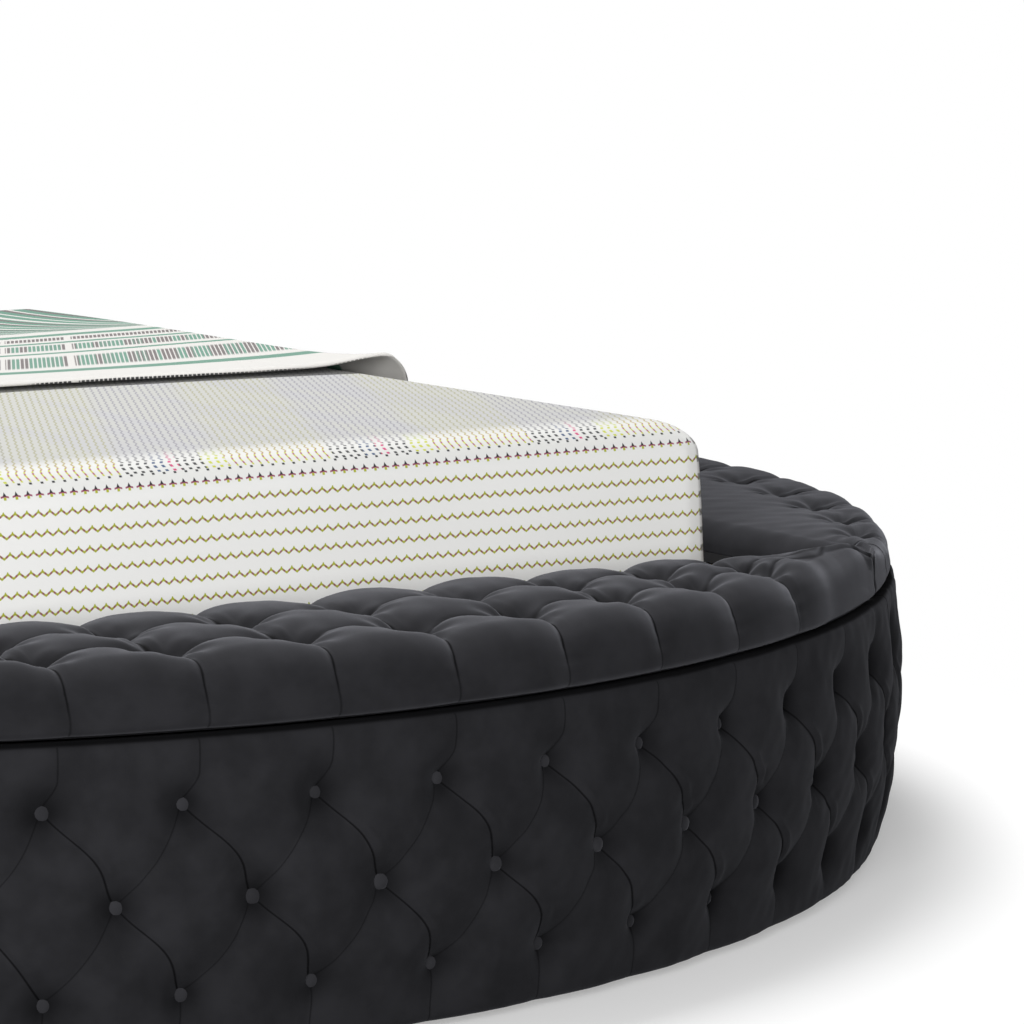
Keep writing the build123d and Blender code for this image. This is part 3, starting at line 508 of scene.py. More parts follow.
class Nodes:
    """The nodes of one material, or of the world, with short ways to add and link them."""

    def __init__(self, owner):
        owner.use_nodes = True
        self.owner = owner
        self.tree = owner.node_tree

    def add(self, kind, inputs=(), **settings):
        """A new node with its settings and its inputs, which come as pairs of key and value."""
        node = self.tree.nodes.new(kind)
        for key, value in settings.items():
            setattr(node, key, value)
        for key, value in inputs:
            self.put(node.inputs[key], value)
        return node

    def run(self, kind, inputs=(), output=0, **settings):
        """One output of a new node."""
        return Value(self, self.add(kind, inputs, **settings).outputs[output])

    def put(self, socket, value):
        if isinstance(value, Value):
            self.tree.links.new(value.socket, socket)
        else:
            socket.default_value = value

    def set(self, name, value):
        """Set one input of the surface shader."""
        self.put(self.tree.nodes["Principled BSDF"].inputs[name], value)

    def math(self, operation, *values):
        return self.run("ShaderNodeMath", enumerate(values), operation=operation)

    def mix(self, factor, first, second):
        return self.run("ShaderNodeMix", ((0, factor), (6, first), (7, second)), 2,
                        data_type="RGBA")

    def place(self, scale=(1, 1, 1)):
        at = self.run("ShaderNodeTexCoord", output="Object")
        return self.run("ShaderNodeMapping", (("Vector", at), ("Scale", scale)))

    def noise(self, vector, scale, detail=2.0, roughness=0.5):
        return self.run("ShaderNodeTexNoise", (("Vector", vector), ("Scale", scale),
                        ("Detail", detail), ("Roughness", roughness)), "Fac")

    def attribute(self, name):
        return self.run("ShaderNodeAttribute", output="Fac", attribute_name=name)

    def split(self, vector):
        node = self.add("ShaderNodeSeparateXYZ", ((0, vector),))
        return [Value(self, socket) for socket in node.outputs]

    def bump(self, height, strength, distance):
        self.set("Normal", self.run("ShaderNodeBump", (("Height", height), ("Strength", strength),
                                                       ("Distance", distance))))

    def camera_sees(self):
        """1 for what the camera sees itself, 0 for light on its way to other things."""
        return self.run("ShaderNodeLightPath", output="Is Camera Ray")

    def show(self, output, factor, first, second):
        """Send a mix of two shaders to the output node."""
        mixed = self.run("ShaderNodeMixShader", enumerate((factor, first, second)))
        self.put(self.tree.nodes[output].inputs["Surface"], mixed)


def new_material(name, roughness=0.6, metallic=0.0):
    """The nodes of a new material with a plain surface."""
    kit = Nodes(bpy.data.materials.new(name))
    kit.set("Roughness", roughness)
    kit.set("Metallic", metallic)
    return kit


def scaled(colour, factor):
    """A colour made lighter or darker."""
    return tuple(part * factor for part in colour[:3]) + (1.0,)


def pleat_line(kit, name, half_width):
    """A thin line where an unwrapped pleat coordinate passes a whole number."""
    return kit.attribute(name).fold(0.5).fade(0.0, half_width / PITCH)


VELVET = (0.0120, 0.0120, 0.0135, 1.0)
PLEAT_SHADE = (0.0006, 0.0006, 0.0008, 1.0)
DIMPLE_SHADE = (0.0012, 0.0012, 0.0015, 1.0)
PILE_SHEEN = (0.62, 0.63, 0.70, 1.0)


def velvet_look(kit, colour, shaded_lines=None, dimple=None, sheen=0.21):
    """Short dark pile with patches that are partly its own uneven tone and partly painted sheen, a
    grey sheen, and painted shade in pleats and dimples.
    """
    place = kit.place()
    patches = kit.noise(place, 14.0, 3.0, 0.6)
    grain = kit.noise(place, 900.0, 2.0, 0.6)
    light = scaled(colour, 1.55)
    # Patches: partly the pile's own uneven tone, partly painted sheen.
    base = kit.mix(patches.ramp(0.3, 0.72), colour, light)
    base = kit.mix(grain.ramp(0.35, 0.8, 0.0, 0.30), base, light)
    height = grain * 0.12
    kit.set("Sheen Weight", sheen)
    if shaded_lines is not None:
        # Painted shade along the pleats: darker colour and less sheen on the lines.
        base = kit.mix(shaded_lines * 0.85, base, PLEAT_SHADE)
        height = height - shaded_lines * 0.25
        kit.set("Sheen Weight", (1.0 - shaded_lines) * sheen)
    if dimple is not None:
        # Painted shade in the pits round the buttons.
        base = kit.mix(dimple * 0.80, base, DIMPLE_SHADE)
    kit.set("Base Color", base)
    kit.set("Roughness", 0.88)
    kit.set("Specular IOR Level", 0.06)
    kit.set("Sheen Roughness", 0.42)
    kit.set("Sheen Tint", PILE_SHEEN)
    kit.bump(height, 0.55, 0.0022)
    return kit.owner


def skirt_velvet():
    """Velvet of the skirt and the headboard, with painted shade along its diamond pleats and at the
    seam.
    """
    kit = new_material("velvet_skirt")
    inside = kit.attribute("inside")
    # Painted shade along the slanted and upright pleats.
    slanted = pleat_line(kit, "line_a", 0.0026).larger(pleat_line(kit, "line_b", 0.0020) * 0.55)
    upright = pleat_line(kit, "line_c", 0.0020) * 0.60 * (1.0 - inside)
    # Painted shade along the top edge, where the skirt meets the lid above it.
    seam_shade = kit.attribute("height").ramp(SKIRT_HIGH - 0.0040, SKIRT_HIGH - 0.0004) * 0.9
    shaded_lines = (slanted * inside).larger(upright.larger(seam_shade))
    return velvet_look(kit, VELVET, shaded_lines, kit.attribute("dimple"), sheen=0.09)


def lid_velvet():
    """Velvet of the lids, with painted shade along the pleats over the rolls, in the valleys along the
    button rows, in widened pits and at the hem.
    """
    kit = new_material("velvet_lid")
    shaded_lines = pleat_line(kit, "line_c", 0.0026) * kit.attribute("inside")
    # Painted shade in the valleys along the button rows.
    for name in ("line_a", "line_b"):
        shaded_lines = shaded_lines.larger(abs(kit.attribute(name)).fade(0.0, 0.090, 0.62))
    # Painted shade in the pits, widened, with darker pleats near them.
    dimple = kit.attribute("dimple") ** 0.60
    shaded_lines = shaded_lines.larger(pleat_line(kit, "line_c", 0.0060) * dimple.ramp(0.02, 0.30))
    # Painted shade along the lower hem, over the seam with the skirt.
    height = kit.split(kit.place())[2]
    shaded_lines = shaded_lines.larger(height.fade(HEM + 0.001, HEM + 0.006, 0.8))
    return velvet_look(kit, VELVET, shaded_lines, dimple)


def plain_velvet(name, brightness=1.0):
    """The same velvet without pleats, for buttons and thin covers; a brightness above 1 is a painted
    highlight.
    """
    return velvet_look(new_material(name), scaled(VELVET, brightness))


def wood_look(name, light, dark, grain_scale, layered=False):
    """Wood with long uneven grain, and thin plies at plywood edges."""
    kit = new_material(name)
    kit.set("Specular IOR Level", 0.15)
    rings = kit.noise(kit.place(grain_scale), 1.6, 4.0, 0.62)
    base = kit.mix(rings.ramp(0.32, 0.72), dark, light)
    if layered:
        ply = kit.split(kit.place())[2].fold(0.0026)
        base = kit.mix(ply.ramp(0.0007, 0.0013, 0.0, 0.25), base, light)
    kit.set("Base Color", base)
    kit.bump(rings, 0.25, 0.0008)
    return kit.owner


def metal_look(name, colour, roughness, metallic=1.0):
    """Plated or painted metal with faint uneven wear."""
    kit = new_material(name, roughness, metallic)
    wear = kit.noise(kit.place(), 60.0, 3.0, 0.6)
    kit.set("Base Color", kit.mix(wear.ramp(0.35, 0.7), scaled(colour, 0.75), colour))
    kit.bump(wear, 0.08, 0.0004)
    return kit.owner


def plain_look(name, colour, roughness, scale):
    """Moulded plastic, felt, webbing or lining with a fine surface."""
    kit = new_material(name, roughness)
    grain = kit.noise(kit.place(), scale, 3.0, 0.6)
    kit.set("Base Color", kit.mix(grain.ramp(0.3, 0.7), scaled(colour, 0.7), colour))
    kit.bump(grain, 0.2, 0.0006)
    return kit.owner


OLIVE = (0.36, 0.40, 0.015, 1.0)
BROWN = (0.26, 0.050, 0.105, 1.0)
INK = (0.012, 0.012, 0.014, 1.0)
NAVY = (0.02, 0.05, 0.12, 1.0)
CERISE = (0.42, 0.02, 0.12, 1.0)
WHITE = (0.82, 0.82, 0.805, 1.0)
SHADED_TOP_WHITE = (0.48, 0.48, 0.465, 1.0)
CORNER_SHADE_GREY = (0.35, 0.35, 0.34, 1.0)
FAR_WARM = (0.335, 0.335, 0.315, 1.0)
FAR_COOL = (0.32, 0.32, 0.325, 1.0)
FAR_SLATE = (0.16, 0.155, 0.18, 1.0)
FAR_OLIVE = (0.22, 0.215, 0.12, 1.0)
ZIGZAG = 0.0160
ROW = 0.0250
ROW_SHIFT = 0.0043
COLUMN = 0.0115
PANEL = 0.314
PANEL_START = 0.144
FIRST_ROW = 0.6290
DOT_ROW = FIRST_ROW + 0.0125
TOP_EDGE = FIRST_ROW + 0.0140


def zigzag_rows(kit, along, z, ground, corner):
    """The sheet's sides: rows of zigzags below one row of small emblems, stitched at the corners, with
    painted shade over the corners.
    """
    down = (FIRST_ROW - z) / ROW
    row = round(down)
    offset = (row - down) * ROW
    tooth = (along + row * ROW_SHIFT).fold(ZIGZAG / 2)
    beside_peak = ZIGZAG / 2 - tooth
    line = abs(offset - (tooth * 0.72 - ZIGZAG * 0.18)).fade(0.0009, 0.0024)
    at_peak = tooth.ramp(ZIGZAG * 0.27, ZIGZAG * 0.40)
    at_foot = tooth.fade(ZIGZAG * 0.09, ZIGZAG * 0.21)
    spike = ((offset - ZIGZAG * 0.155) * 0.35 + beside_peak).fade(0.0012, 0.0024)
    spike = spike * offset.ramp(0.0015, 0.0022) * offset.fade(0.0052, 0.0066)
    zigzag = kit.mix(line, ground, kit.mix(at_peak.larger(at_foot), BROWN, OLIVE))
    zigzag = kit.mix(spike, zigzag, OLIVE)

    triangle = (beside_peak + offset * 0.5).fade(0.0020, 0.0030)
    triangle = triangle * offset.ramp(-0.0008, 0.0004)
    arms = abs(offset + beside_peak * 0.25).fade(0.0007, 0.0016)
    arms = arms * beside_peak.fade(0.0050, 0.0062)
    drop = beside_peak.fade(0.0013, 0.0024)
    drop = drop * abs(offset + 0.0030).fade(0.0014, 0.0024)
    emblem = kit.mix(arms, kit.mix(drop, ground, OLIVE), BROWN)
    emblem = kit.mix(triangle, emblem, INK)

    colour = kit.mix(abs(row) < 0.5, zigzag, emblem)
    stitch = abs(offset).fade(0.0035, 0.0055, 0.75) * corner
    colour = kit.mix(stitch, colour, INK)
    # Painted shade: the rounded corners made a little greyer.
    colour = kit.mix(corner * 0.22, colour, CORNER_SHADE_GREY)
    return kit.mix(row > -0.5, ground, colour)


def thread_columns(kit, x, y, z, ground):
    """The sheet's top: wavy threads between dotted panels, in soft greys towards the head."""
    swept = x - (y + 0.985).larger(0.0) * 0.46
    column = swept / COLUMN
    sway = (y.fold(0.016) - 0.008) * 0.22
    beside = abs((column - round(column)) * COLUMN - sway)
    thread = beside.fade(0.0007, 0.0021)
    dot_step = (y + z * 0.8).fold(0.006)
    dot = beside.fade(0.0016, 0.0030) * dot_step.ramp(0.0018, 0.0032)
    panel = ((swept + PANEL_START) / PANEL).fraction()
    dotted = panel.fade(0.493, 0.497)
    from_cerise = abs(panel - 0.250)
    navy = abs(panel - 0.188).fade(0.034, 0.038)
    dot_colour = kit.mix(from_cerise.fade(0.018, 0.022), kit.mix(navy, INK, NAVY), CERISE)
    dot_colour = kit.mix(panel.ramp(0.385, 0.389), dot_colour, OLIVE)
    thread_colour = kit.mix(dot_step.ramp(0.0020, 0.0036), BROWN, OLIVE)
    marks = (thread * (1.0 - dotted)).larger(dot * dotted)
    near = kit.mix(marks, ground, kit.mix(dotted, thread_colour, dot_colour))

    far = y.ramp(-1.00, -0.88)
    patches = kit.noise(kit.place((9, 1, 1)), 2.0, 2.0).ramp(0.40, 0.60)
    soft = kit.mix(far, ground, kit.mix(patches, FAR_WARM, FAR_COOL))
    far_colour = kit.mix(from_cerise.ramp(0.18, 0.30), FAR_SLATE, FAR_OLIVE)
    return kit.mix(far, near, kit.mix(thread * 0.92, soft, far_colour))


def sheet_material():
    """White sheet with rows of small zigzags on its sides and threads and dots on its top."""
    kit = new_material("sheet_cloth", 0.85)
    place = kit.place()
    x, y, z = kit.split(place)
    facing = kit.split(kit.run("ShaderNodeNewGeometry", output="Normal"))
    across, lengthwise = abs(facing[0]), abs(facing[1])
    sideways = across > lengthwise
    along = x * (1.0 - sideways) + y * sideways + kit.noise(place, 3.0, 1.0) * 0.012
    # The ground turns from white on the sides to a darker copy of it on the top: painted shade.
    ground = kit.mix(z.ramp(FIRST_ROW - 0.016, FIRST_ROW + 0.020), WHITE, SHADED_TOP_WHITE)
    corner = across.smaller(lengthwise).ramp(0.30, 0.42)
    sides = zigzag_rows(kit, along, z, ground, corner)
    top = thread_columns(kit, x, y, z, ground)
    colour = kit.mix(z.ramp(TOP_EDGE, TOP_EDGE + 0.0005), sides, top)
    dots = along.fold(ZIGZAG / 2).fade(0.0014, 0.0026)
    dots = dots * abs(z - DOT_ROW).fade(0.0008, 0.0016)
    kit.set("Base Color", kit.mix(dots, colour, INK))
    kit.set("Sheen Weight", 0.15)
    kit.bump(kit.noise(place, 1400.0, 1.0, 0.5), 0.15, 0.0006)
    return kit.owner


GREEN = (0.045, 0.155, 0.105, 1.0)
GREY_BROWN = (0.072, 0.056, 0.055, 1.0)
CREAM = (0.45, 0.44, 0.42, 1.0)
FAN_PERIOD = 0.150
FAN_STOPS = ((0.0, CREAM), (0.12, GREEN), (0.30, CREAM), (0.36, GREEN), (0.52, GREY_BROWN),
             (0.62, CREAM), (0.68, GREEN), (0.84, GREY_BROWN), (0.93, GREEN))


def blanket_material(edge):
    """Cream blanket: a border of stripes and blocks along its foot edge, and fanned stripes beyond."""
    kit = new_material("blanket_cloth", 0.9)
    place = kit.place()
    x, y, _ = kit.split(place)
    inward = y - edge + kit.noise(place, 5.0, 1.0) * 0.012
    leaning = x - y * 0.5
    block = kit.noise(kit.run("ShaderNodeCombineXYZ", ((0, leaning),)), 34.0, 1.0, 0.4)
    broken = leaning.fold(0.0038).ramp(0.0006, 0.0016) * block.ramp(0.34, 0.37)
    blocks = kit.mix(block.ramp(0.48, 0.51), GREY_BROWN, GREEN)
    # The first band, a broken dark line at the foot edge, is partly the border's dashes and partly
    # painted shadow under the rolled edge.
    bands = ((0.006, 0.0030, INK, broken), (0.158, 0.0190, GREEN, 1.0),
             (0.285, 0.0750, blocks, broken), (0.405, 0.0100, GREEN, 1.0),
             (0.480, 0.0400, blocks, broken), (0.545, 0.0100, GREEN, 1.0),
             (0.595, 0.0200, GREY_BROWN, broken), (0.650, 0.0150, GREEN, 1.0))
    colour = CREAM
    for centre, half, tone, gaps in bands:
        band = abs(inward - centre).fade(half * 0.75, half * 1.1)
        colour = kit.mix(band * gaps, colour, tone)

    reach = (inward - 0.68).larger(0.010)
    swept = x - reach * 0.40 + kit.math("LOGARITHM", reach, 2.718) * 0.13
    fan = kit.add("ShaderNodeValToRGB", ((0, (swept / FAN_PERIOD).fraction()),))
    fan.color_ramp.interpolation = "CONSTANT"
    elements = fan.color_ramp.elements
    elements[0].position, elements[0].color = FAN_STOPS[0]
    elements[1].position, elements[1].color = FAN_STOPS[1]
    for position, tone in FAN_STOPS[2:]:
        elements.new(position).color = tone
    kit.set("Base Color", kit.mix(inward > 0.70, colour, Value(kit, fan.outputs[0])))
    kit.set("Sheen Weight", 0.2)
    kit.bump(kit.noise(place, 800.0, 2.0, 0.6), 0.3, 0.0012)
    return kit.owner


def finish_piece(piece, body, material, slot, *nodes):
    """Attach a soft piece to its body, give it its material and hide the CAD nodes it stands for."""
    piece.data.materials.clear()
    piece.data.materials.append(material)
    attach(piece, body)
    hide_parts(*nodes)
    return piece


SKIRT_VELVET = skirt_velvet()
LID_VELVET = lid_velvet()
PLAIN_VELVET = plain_velvet("velvet_plain")
# The buttons' velvet is lighter: a painted highlight on their domes.
HIGHLIT_BUTTON_VELVET = plain_velvet("velvet_button", 1.5)

# Skirts and their buttons

JOINT_ANGLE = 6.75 * COLUMN_ANGLE
JOINT_GAP_ANGLE = 0.020
for name, turn in TURNS.items():
    half = (JOINT_ANGLE if name in ("foot", "head") else 90 - JOINT_ANGLE) - JOINT_GAP_ANGLE
    piece = build_skirt(f"{name}_skirt_velvet", turn - half, turn + half)
    finish_piece(piece, "frame", SKIRT_VELVET, "velvet", f"{name}_skirt")
buttons = build_buttons("skirt_velvet_buttons", skirt_button_places())
finish_piece(buttons, "frame", HIGHLIT_BUTTON_VELVET, "velvet", "skirt_buttons")

# Lid cushions, corner cushions and head deck

CORNER_GAP = 0.0013
foot_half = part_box("foot_lid_cushion")[1].x - GAP
side_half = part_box("right_lid_cushion")[1].y - GAP
corner_start = side_half + CORNER_GAP
CORNER_END = 1.1120
DECK_BUTTON_REACH = 1.30


def add_cushion(name, side, body, chord, reach, form, shift=0.0, limit=None):
    """A tufted cushion with its buttons, on the body that carries it."""
    piece = build_cushion(f"{name}_velvet", TURNS[side], chord, -reach, reach, form, shift)
    finish_piece(piece, body, LID_VELVET, "velvet", f"{name}_cushion")
    places = lid_button_places(TURNS[side], chord, -reach, reach, form, shift, limit)
    buttons = build_buttons(f"{name}_velvet_buttons", places)
    finish_piece(buttons, body, HIGHLIT_BUTTON_VELVET, "velvet", f"{name}_buttons")


add_cushion("foot_lid", "foot", "foot_lid", END_CHORD, foot_half, END_FORM, LID_SHIFT)
add_cushion("right_lid", "right", "right_lid", SIDE_CHORD, side_half, SIDE_FORM)
add_cushion("left_lid", "left", "left_lid", SIDE_CHORD, side_half, SIDE_FORM)
for side in ("right", "left"):
    for end, low, high in (("foot", -CORNER_END, -corner_start), ("head", corner_start, CORNER_END)):
        piece = build_cushion(f"corner_{side}_{end}", TURNS[side], SIDE_CHORD, low, high,
                              CORNER_FORM, corner_reach=SIDE_CHORD - foot_half - CORNER_GAP)
        finish_piece(piece, "frame", LID_VELVET, "velvet", "corner_cushions")
add_cushion("head_deck", "head", "frame", END_CHORD, foot_half, END_FORM, limit=DECK_BUTTON_REACH)

# Headboard

BOARD_ANGLE = 33
BOARD_HALF = BOARD_ANGLE - 0.02
BOARD_FRONT = 1.3527
BOARD_BACK = 1.4326
BOARD_OUTER = 1.4520
BOARD_FACE = 1.4813
BOARD_BASE = 0.4155
BOARD_TOP = 1.250
BOARD_DROP = 0.220
BOARD_ROWS = 6
BOARD_FIRST = 0.12
BOARD_STEP = 0.15
BOARD_ROLL = 0.034
BOARD_BUTTON_DEPTH = 0.0235
BACK_EDGE = 0.018


def arch(across):
    """Height of the headboard's arched top at a sideways offset."""
    half = BOARD_FACE * sin(radians(BOARD_ANGLE))
    radius = (half ** 2 + BOARD_DROP ** 2) / (2 * BOARD_DROP)
    return BOARD_TOP - radius + np.sqrt(radius ** 2 - across ** 2)


def build_headboard():
    """The tufted front pad, from its foot over the arched top to its plain back edge."""
    steps = int(radians(2 * BOARD_HALF) * BOARD_FRONT / FINE)
    sections, marks = [], []
    for angle in np.linspace(-BOARD_HALF, BOARD_HALF, steps):
        top = arch(BOARD_BACK * sin(radians(angle)))
        tall = top - BOARD_BASE
        face_z = np.linspace(BOARD_BASE, top - BOARD_ROLL, 175)
        turn = np.linspace(0, pi / 2, 12)[1:]
        over_z = top - BOARD_ROLL + BOARD_ROLL * np.sin(turn)
        over_r = BOARD_ROLL * (1 - np.cos(turn))
        z = np.concatenate([face_z, over_z])
        back_off = np.concatenate([np.zeros(len(face_z)), over_r])
        s = angle / COLUMN_ANGLE
        q = ((z - BOARD_BASE) / tall - BOARD_FIRST) / BOARD_STEP
        qc = np.clip(q, 0, BOARD_ROWS - 1)
        bow = 0.05 * np.sin(pi * qc) ** 2
        a = s - 0.5 * qc - bow
        b = s + 0.5 * qc - 0.02 * np.sin(pi * qc) ** 2
        pitch = BOARD_FRONT * radians(COLUMN_ANGLE)
        past = np.abs(q - qc) * BOARD_STEP * tall
        da = np.hypot(wrap(a) * pitch * 0.83, past)
        db = np.hypot(wrap(b) * pitch * 0.83, past)
        dt = np.hypot(wrap(s - 0.5 * np.round(qc)) * pitch,
                      (q - np.round(qc)) * BOARD_STEP * tall)
        upright = wrap(s - 0.5 * np.where(q < 2, 0, BOARD_ROWS - 1)) * pitch
        dc = np.hypot(upright, np.where(past > 0, 0, np.minimum(qc, BOARD_ROWS - 1 - qc)
                                        * BOARD_STEP * tall))
        depth = groove(da, 0.0085, 0.020) + groove(db, 0.0075, 0.021) + groove(dc, 0.0070, 0.020)
        depth += pit(dt, 0.016, 0.027, 1.25) - 0.0080
        depth += 0.0012 * waves(s * 6.5, z * 40, 6, 0.7, 2.0, 41)
        edge = ease((BOARD_HALF - abs(angle)) / 1.2)
        depth = depth * ease((z - BOARD_BASE) / 0.02) * ease((top - z) / 0.015) * edge
        depth += 0.030 * (1 - edge) ** 2
        radius = BOARD_FRONT + depth + back_off
        radius = np.concatenate([radius, [BOARD_BACK, BOARD_BACK]])
        zz = np.concatenate([z, [top, BOARD_BASE]])
        sections.append(around(angle, radius, zz))
        inside = ease((q + 0.02) / 0.06) * ease((BOARD_ROWS - 1 - q + 0.02) / 0.06)
        marks.append((a, b, np.full(len(z), 0.5), inside, dimple_shade(dt)))
    return grid_mesh("headboard_velvet", turned(np.array(sections), TURNS["head"]), marks)


def headboard_button_places():
    """Centres of the headboard's buttons."""
    places = []
    reach = int(BOARD_ANGLE / COLUMN_ANGLE * 2)
    for step in range(-reach, reach + 1):
        angle = step * COLUMN_ANGLE / 2
        if abs(angle) > BOARD_ANGLE - COLUMN_ANGLE / 3:
            continue
        top = arch(BOARD_BACK * sin(radians(angle)))
        for row in range(step % 2, BOARD_ROWS, 2):
            z = BOARD_BASE + (top - BOARD_BASE) * (BOARD_FIRST + BOARD_STEP * row)
            point = around(angle + TURNS["head"], BOARD_FRONT + BOARD_BUTTON_DEPTH, z)
            places.append((point, around(angle, 1.0, 0.0)))
    return places


def build_back_pad():
    """The plain velvet pad on the back of the headboard."""
    sections = []
    for angle in np.linspace(-BOARD_HALF, BOARD_HALF, 160):
        top = arch(BOARD_BACK * sin(radians(angle)))
        turn = np.linspace(0, pi / 2, 10)
        thick = BOARD_FACE - BOARD_OUTER
        z = np.concatenate([np.linspace(BOARD_BASE, top - BACK_EDGE, 60),
                            top - BACK_EDGE + BACK_EDGE * np.sin(turn[1:])])
        off = np.concatenate([np.zeros(60), BACK_EDGE * (1 - np.cos(turn[1:]))])
        share = (z - BOARD_BASE) / (top - BOARD_BASE)
        fat = thick * (0.62 + 0.38 * np.sin(pi * np.clip(share, 0, 1)) ** 0.6)
        edge = ease((BOARD_HALF - abs(angle)) / 1.2)
        radius = BOARD_OUTER + np.maximum(fat * (0.55 + 0.45 * edge) - off, 0.002)
        radius = np.concatenate([radius, [BOARD_OUTER, BOARD_OUTER]])
        zz = np.concatenate([z, [top, BOARD_BASE]])
        sections.append(around(angle, radius, zz))
    return grid_mesh("headboard_back_velvet", turned(np.array(sections), TURNS["head"]), flip=True)


piece = finish_piece(build_headboard(), "frame", SKIRT_VELVET, "velvet", "headboard_pad")
piece = finish_piece(build_back_pad(), "frame", PLAIN_VELVET, "velvet", "headboard_back_pad")
finish_piece(build_buttons("headboard_velvet_buttons", headboard_button_places()), "frame",
             HIGHLIT_BUTTON_VELVET, "velvet", "headboard_buttons")

# Mattress with its sheet

CORNER = 0.034
EDGE = 0.045
CROWN = 0.006
CORNER_FOLD = 0.0035
SIDE_POINTS = 150
CORNER_POINTS = 14
SIDE_RINGS = 34
EDGE_RINGS = 14
TOP_RINGS = 40
SHEET_INSET = 0.0005
HEM_INSET = 0.012


def rounded_ring(half_x, half_y, corner):
    """Points round a rectangle with rounded corners, and their outward directions."""
    arcs, outs = [], []
    for side_x, side_y, start in ((1, -1, -90), (1, 1, 0), (-1, 1, 90), (-1, -1, 180)):
        turn = np.radians(np.linspace(start, start + 90, CORNER_POINTS))
        out = np.stack([np.cos(turn), np.sin(turn)], axis=-1)
        centre = np.array([side_x * (half_x - corner), side_y * (half_y - corner)])
        arcs.append(centre + corner * out)
        outs += [out, np.tile(out[-1], (SIDE_POINTS, 1))]
    points = []
    for arc, after in zip(arcs, arcs[1:] + arcs[:1]):
        points += [arc, np.linspace(arc[-1], after[0], SIDE_POINTS + 2)[1:-1]]
    return np.concatenate(points), np.concatenate(outs)


def at_height(plan, z):
    """Points of a plan, all at one height."""
    return np.column_stack([plan, np.full(len(plan), z)])


def build_mattress():
    """The mattress in its tight sheet: soft sides, rounded edges and a slightly crowned top."""
    half_x = MATTRESS_HIGH.x - SHEET_INSET
    half_y = MATTRESS_HIGH.y - SHEET_INSET
    low, high = MATTRESS_LOW.z + SHEET_INSET, MATTRESS_HIGH.z
    plan, outs = rounded_ring(half_x, half_y, CORNER)
    rings = []
    at_corner = np.abs(np.abs(outs[:, 0]) - np.abs(outs[:, 1]))
    fold = CORNER_FOLD * np.exp(-(at_corner / 0.35) ** 2) * (at_corner < 0.95)
    for z in np.linspace(low + HEM_INSET, high - EDGE, SIDE_RINGS):
        share = (z - low) / (high - low)
        low_foot = ease((-plan[:, 1] - 0.72) / 0.18)
        bulge = (0.0035 + 0.0120 * low_foot) * (1 - share) - 0.001 + fold
        bulge = bulge + 0.0065 * np.abs(outs[:, 0]) ** 2 * low_foot * (1 - share ** 3)
        ripple = 0.0012 * waves(plan[:, 0] * 9 + plan[:, 1] * 9, z * 14, 5, 0.7, 2, 51)
        off = (bulge + ripple)[:, None]
        rings.append(at_height(plan + outs * off, z))
    for turn in np.linspace(0, pi / 2, EDGE_RINGS)[1:]:
        inset = EDGE * (1 - cos(turn))
        z = high - EDGE + EDGE * sin(turn)
        shrunk, _ = rounded_ring(half_x - inset, half_y - inset, CORNER + inset * 0.35)
        rings.append(at_height(shrunk + outs * off * cos(turn), z))
    last = rings[-1]
    for scale in np.linspace(1, 0, TOP_RINGS)[1:-1]:
        rings.append(at_height(last[:, :2] * scale, high + CROWN * (1 - scale ** 2)))
    under = at_height(rings[0][:, :2] - outs * HEM_INSET, low)
    return grid_mesh("mattress_sheet", np.array([under] + rings))


SHEET = sheet_material()
mattress = finish_piece(build_mattress(), "frame", SHEET, "sheet_cloth", "mattress")

# Blanket

BLANKET_LIFT = 0.0022
BLANKET_THICK = 0.0065
BLANKET_HEM = 0.006
FOLD_STEP = 0.226
ACROSS_POINTS = 300
LENGTH_POINTS = 150


